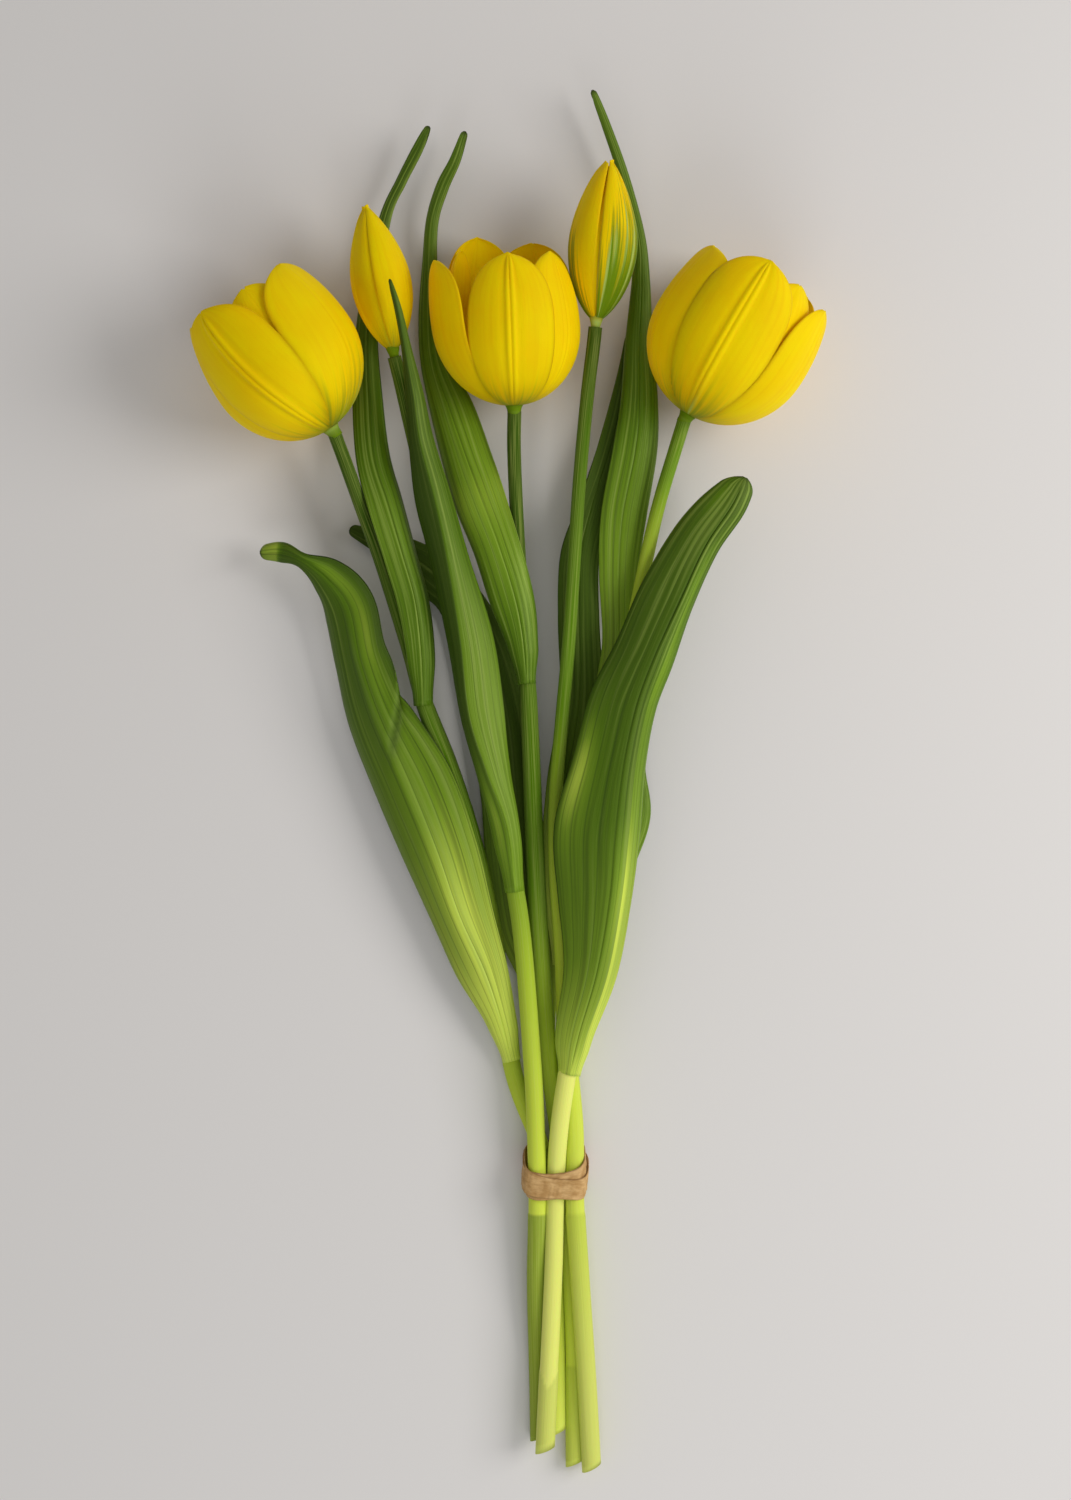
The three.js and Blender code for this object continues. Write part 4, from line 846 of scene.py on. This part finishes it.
def receptacle_skin(flower, seed):
    """The knob that the petals grow from: its profile swells smoothly from the stem's end
    and closes inside the cup. A bud's is slimmer."""
    radius = RECEPTACLE_RADIUS * (BUD_RECEPTACLE_SHARE if flower["bud"] else 1)
    profile = smooth_line(RECEPTACLE_PROFILE, np.linspace(0, 1, RECEPTACLE_RINGS))
    profile = profile * [radius, RECEPTACLE_HEIGHT]
    return turned_skin(profile, RECEPTACLE_SIDES, (seed, RECEPTACLE_GREEN, 0))


def heart_skin(flower, seed):
    """The younger petals inside a bud, as one body with the bud's own profile."""
    height, out = cup(flower, np.linspace(*HEART_ENDS, HEART_RINGS))
    radius = (flower["radius"] + HEART_GROWTH) * out * HEART_SHARE
    profile = np.stack([radius, flower["heart"] * height], -1)
    return turned_skin(profile, HEART_SIDES, (seed, HEART_GREEN, 0))


def set_on_stem(points, flower):
    """Turns a flower from standing on +Y: its mouth rises, then it heads round in plan, and
    its foot goes on the stem's end."""
    rise, heading = math.radians(flower["rise"]), math.radians(flower["heading"])
    x, y, z = points.T
    y, z = y * math.cos(rise) - z * math.sin(rise), y * math.sin(rise) + z * math.cos(rise)
    ahead, aside = math.cos(heading), math.sin(heading)
    x, y = x * ahead - y * aside, x * aside + y * ahead
    return np.stack([x, y, z], -1) + flower["base"]


def petal_yellow():
    """Full yellow, a little deeper in its furrows, with green streaks that climb from the base as
    far as the petal's mark says. Painted shade darkens it to orange towards the base and along
    its edges, where the petals overlap, and a painted highlight lies pale on the green where it
    runs far up."""
    gloss = {"Subsurface Weight": 0.35, "Subsurface Scale": 5 * MM,
             "Subsurface Radius": (1, 0.55, 0.02), "Specular IOR Level": 0.2,
             "Specular Tint": (1, 0.85, 0.2, 1)}
    finish, shader, (across, along, seed, green, lean) = new_finish("petal_yellow", gloss)
    streaks = place(across * 22, along * 1.4, seed).scatter(1.0, 3)
    fine = place(across * 70, along * 5, seed).scatter(1.0, 3)
    cloud = place(across * 3, along * 3, seed).scatter(1.0, 2)
    colour = (cloud.between(0.3, 0.75) * 0.5).blend(paint("ffd600"), paint("fdc400"))
    colour = (streaks.between(0.6, 0.25) * 0.2).blend(colour, paint("eea400"))
    # Painted shade: deeper orange towards the base, inside the cup.
    colour = (along.between(0.3, 0.02) * 0.5).blend(colour, paint("d99a00"))
    tongues = streaks.between(0.3, 0.75) * 0.45 + 0.6
    reach = green * tongues + (across - 0.5) * lean - along
    colour = (reach.between(-0.1, 0.2) * 0.75).blend(colour, paint("a4a010"))
    colour = (reach.between(-0.02, 0.42) * 0.9).blend(colour, paint("54800c"))
    # Painted highlight: pale streaks on the green where it climbs far up the petal.
    pale = place(across * 14, along, seed + 3).scatter(1.0, 2).between(0.5, 0.66)
    pale = pale * reach.between(0.05, 0.3) * reach.between(0.85, 0.55)
    colour = (pale * 0.6).blend(colour, paint("c8dc78"))
    # Painted shade: darker orange along the edges, where one petal lies over the next.
    rim = (across - 0.5).maths("ABSOLUTE").between(0.44, 0.5)
    colour = (rim * 0.35).blend(colour, paint("c88c08"))
    coat(shader, colour, 0.6 + fine * 0.12, fine + streaks * 0.5, 0.06)
    return finish


petal_finish = petal_yellow()
for number, (name, flower) in enumerate(FLOWERS.items()):
    seed = SEEDS_A_FLOWER * number + FLOWER_SEED
    skins = [petal_skin(flower, row, seed + k) for k, row in enumerate(flower["petals"])]
    skins.append(receptacle_skin(flower, seed))
    if flower["bud"]:
        skins.append(heart_skin(flower, seed + 9))
    for skin in skins:
        skin["points"] = set_on_stem(skin["points"], flower)
    blossom = put_in_mesh("petals_" + name, skins)
    blossom.data.materials.append(petal_finish)
    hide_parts(name)
    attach(blossom, "root")


# ---------------------------------------------------------------- paper tape
# A strip of brown kraft paper goes round the stems twice. It is creased where it turns, and
# it has slid towards the cut ends on top. A turn's row is its layer, lean, width and shift.

BUNDLE_CENTRE = (17.2, -134.5, 7.55)
BUNDLE_HALF_WIDTH = 10.3
BUNDLE_HALF_HEIGHT = 6.5
BUNDLE_SQUARENESS = 4
TAPE_THICKNESS = 0.6
TAPE_BODY = 0.45
TAPE_LIFT = 0.08
TAPE_STEPS = 220
TAPE_SECTION_STEPS = 40
TAPE_SQUARENESS = 10
CREASE_HEIGHT = 0.14
FINE_CREASE_HEIGHT = 0.06
CREASE_DEEPEST = -0.15
TAPE_EDGE_WANDER = 0.3
TAPE_SLIDE = -0.6
TAPE_TURNS = ((0.0, 5.0, 9.8, 0.3), (0.7, -7.0, 8.0, -0.5))
TAPE_DIP = 1.3
TAPE_SEED = 70


def superellipse(angle, power):
    """How far out a rounded box of half width 1 reaches at an angle; a higher power makes
    it squarer."""
    return (abs(np.cos(angle)) ** power + abs(np.sin(angle)) ** power) ** (-1 / power)


def tape_skin(layer, lean, width, shift, seed):
    """A flat band round a rounded box (a superellipse): the section, itself a thin rounded
    box, goes round it, and waves along and across crease the paper. On top, the upper edge
    dips towards the middle."""
    angle = (2 * math.pi * np.arange(TAPE_STEPS) / TAPE_STEPS)[:, None]
    c, s = np.cos(angle), np.sin(angle)
    reach = superellipse(angle, BUNDLE_SQUARENESS)
    x = (BUNDLE_HALF_WIDTH + layer * TAPE_THICKNESS) * c * reach
    z = (BUNDLE_HALF_HEIGHT + layer * TAPE_THICKNESS) * s * reach
    turn = (-2 * math.pi * np.arange(TAPE_SECTION_STEPS) / TAPE_SECTION_STEPS)[None, :]
    box = superellipse(turn, TAPE_SQUARENESS)
    thick, wide = (1 + np.cos(turn) * box) / 2, np.sin(turn) * box
    crease = CREASE_HEIGHT * waves(seed, (angle, 14), (wide, 2.5))
    crease = crease + FINE_CREASE_HEIGHT * waves(seed + 1, (angle, 60), (wide, 6))
    out = thick * (TAPE_BODY + np.maximum(crease, CREASE_DEEPEST)) + TAPE_LIFT
    length = np.hypot(x, z)
    x, z = x + out * x / length, z + out * z / length
    y = wide * width / 2 + shift + TAPE_EDGE_WANDER * waves(seed + 2, (c, 4), (s, 4))
    y = y - TAPE_DIP * ease(0.2, 1, wide) * ease(0, 0.9, s) * ease(1, 0.1, abs(c - 0.15))
    tilt = math.radians(lean)
    points = np.stack([x * math.cos(tilt) - y * math.sin(tilt),
                       x * math.sin(tilt) + y * math.cos(tilt) + TAPE_SLIDE * z, z], -1)
    points = points + BUNDLE_CENTRE
    rows, columns = points.shape[:2]
    cells = lattice(rows + 1, columns, True) % (rows * columns)
    span = np.stack(np.broadcast_arrays((wide + 1) / 2, angle / 2 / math.pi), -1)
    return dict(points=points.reshape(-1, 3), quads=cells, tris=np.empty((0, 3), int),
                span=span.reshape(-1, 2), marks=np.array([seed, 0, 0], float))


def kraft_paper():
    """Warm brown with fibres along the strip, paler on the fold pattern that also raises its fine relief.
    """
    finish, shader, (across, along, seed, _, _) = new_finish("kraft_paper", {})
    fibres = place(across * 30, along * 40, seed).scatter(1.0, 4, 0.6)
    folds = place(across * 3, along * 16, seed + 7).scatter(1.0, 3)
    colour = folds.between(0.35, 0.7).blend(paint("b98e52"), paint("dcb478"))
    colour = (fibres.between(0.4, 0.75) * 0.35).blend(colour, paint("8f6536"))
    edge = (across - 0.5).maths("ABSOLUTE")
    colour = (edge.between(0.46, 0.5) * 0.5).blend(colour, paint("7d5530"))
    coat(shader, colour, 0.7 + fibres * 0.15, fibres * 0.4 + folds, 0.25)
    return finish


turns = [tape_skin(*turn, TAPE_SEED + number) for number, turn in enumerate(TAPE_TURNS)]
tape = put_in_mesh("kraft_tape", turns)
tape.data.materials.append(kraft_paper())
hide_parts("tape")
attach(tape, "root")


# ---------------------------------------------------------------- table, light and camera
# A plain pale table top just under the flowers, a broad soft light from the right, a weaker
# one from the side of the cut ends, and a camera straight above. Places are in metres.

TABLE_HALF = 2.0
TABLE_HEIGHT = -0.1 * MM
TABLE_ROUGHNESS = 0.55
LIGHT_AIM = (0.0, 0.03, 0.0)
ROOM_STRENGTH = 0.36
CAMERA_PLACE = (0.0104, 0.0104, 0.92)
CAMERA_LENS = 63.5
CAMERA_REACH = 50


def table_top():
    """One square of matt board."""
    mesh = bpy.data.meshes.new("table_top")
    corners = [(x * TABLE_HALF, y * TABLE_HALF, TABLE_HEIGHT)
               for x, y in ((-1, -1), (1, -1), (1, 1), (-1, 1))]
    mesh.from_pydata(corners, [], [(0, 1, 2, 3)])
    top = bpy.data.objects.new("table_top", mesh)
    bpy.context.scene.collection.objects.link(top)
    matt = bpy.data.materials.new("pale_table")
    matt.use_nodes = True
    shader = matt.node_tree.nodes["Principled BSDF"]
    shader.inputs["Base Color"].default_value = paint("e2dfdc")
    shader.inputs["Roughness"].default_value = TABLE_ROUGHNESS
    mesh.materials.append(matt)
    return top


def soft_light(name, where, size, power, colour):
    """A square lamp that faces the flowers."""
    lamp = bpy.data.lights.new(name, "AREA")
    lamp.size, lamp.energy, lamp.color = size, power, colour
    holder = bpy.data.objects.new(name, lamp)
    holder.location = where
    aim = np.array(LIGHT_AIM) - where
    pan, drop = math.atan2(aim[1], aim[0]), math.atan2(-aim[2], math.hypot(aim[0], aim[1]))
    holder.rotation_euler = (math.pi / 2 - drop, 0, pan - math.pi / 2)
    bpy.context.scene.collection.objects.link(holder)


floor = table_top()
soft_light("key_light", (0.96, 0.15, 0.78), 0.7, 8.5, (1, 0.985, 0.97))
soft_light("fill_light", (0.25, -1.1, 0.9), 0.9, 5.2, (0.95, 0.97, 1))

world = bpy.data.worlds.new("soft_room")
world.use_nodes = True
background = world.node_tree.nodes["Background"]
background.inputs["Color"].default_value = (1, 0.99, 0.985, 1)
background.inputs["Strength"].default_value = ROOM_STRENGTH
bpy.context.scene.world = world
bpy.context.scene.view_settings.view_transform = "Standard"

lens = bpy.data.cameras.new("camera")
lens.lens = CAMERA_LENS
lens.clip_end = CAMERA_REACH
camera = bpy.data.objects.new("camera", lens)
camera.location = CAMERA_PLACE
bpy.context.scene.collection.objects.link(camera)
bpy.context.scene.camera = camera

bpy.context.view_layer.update()
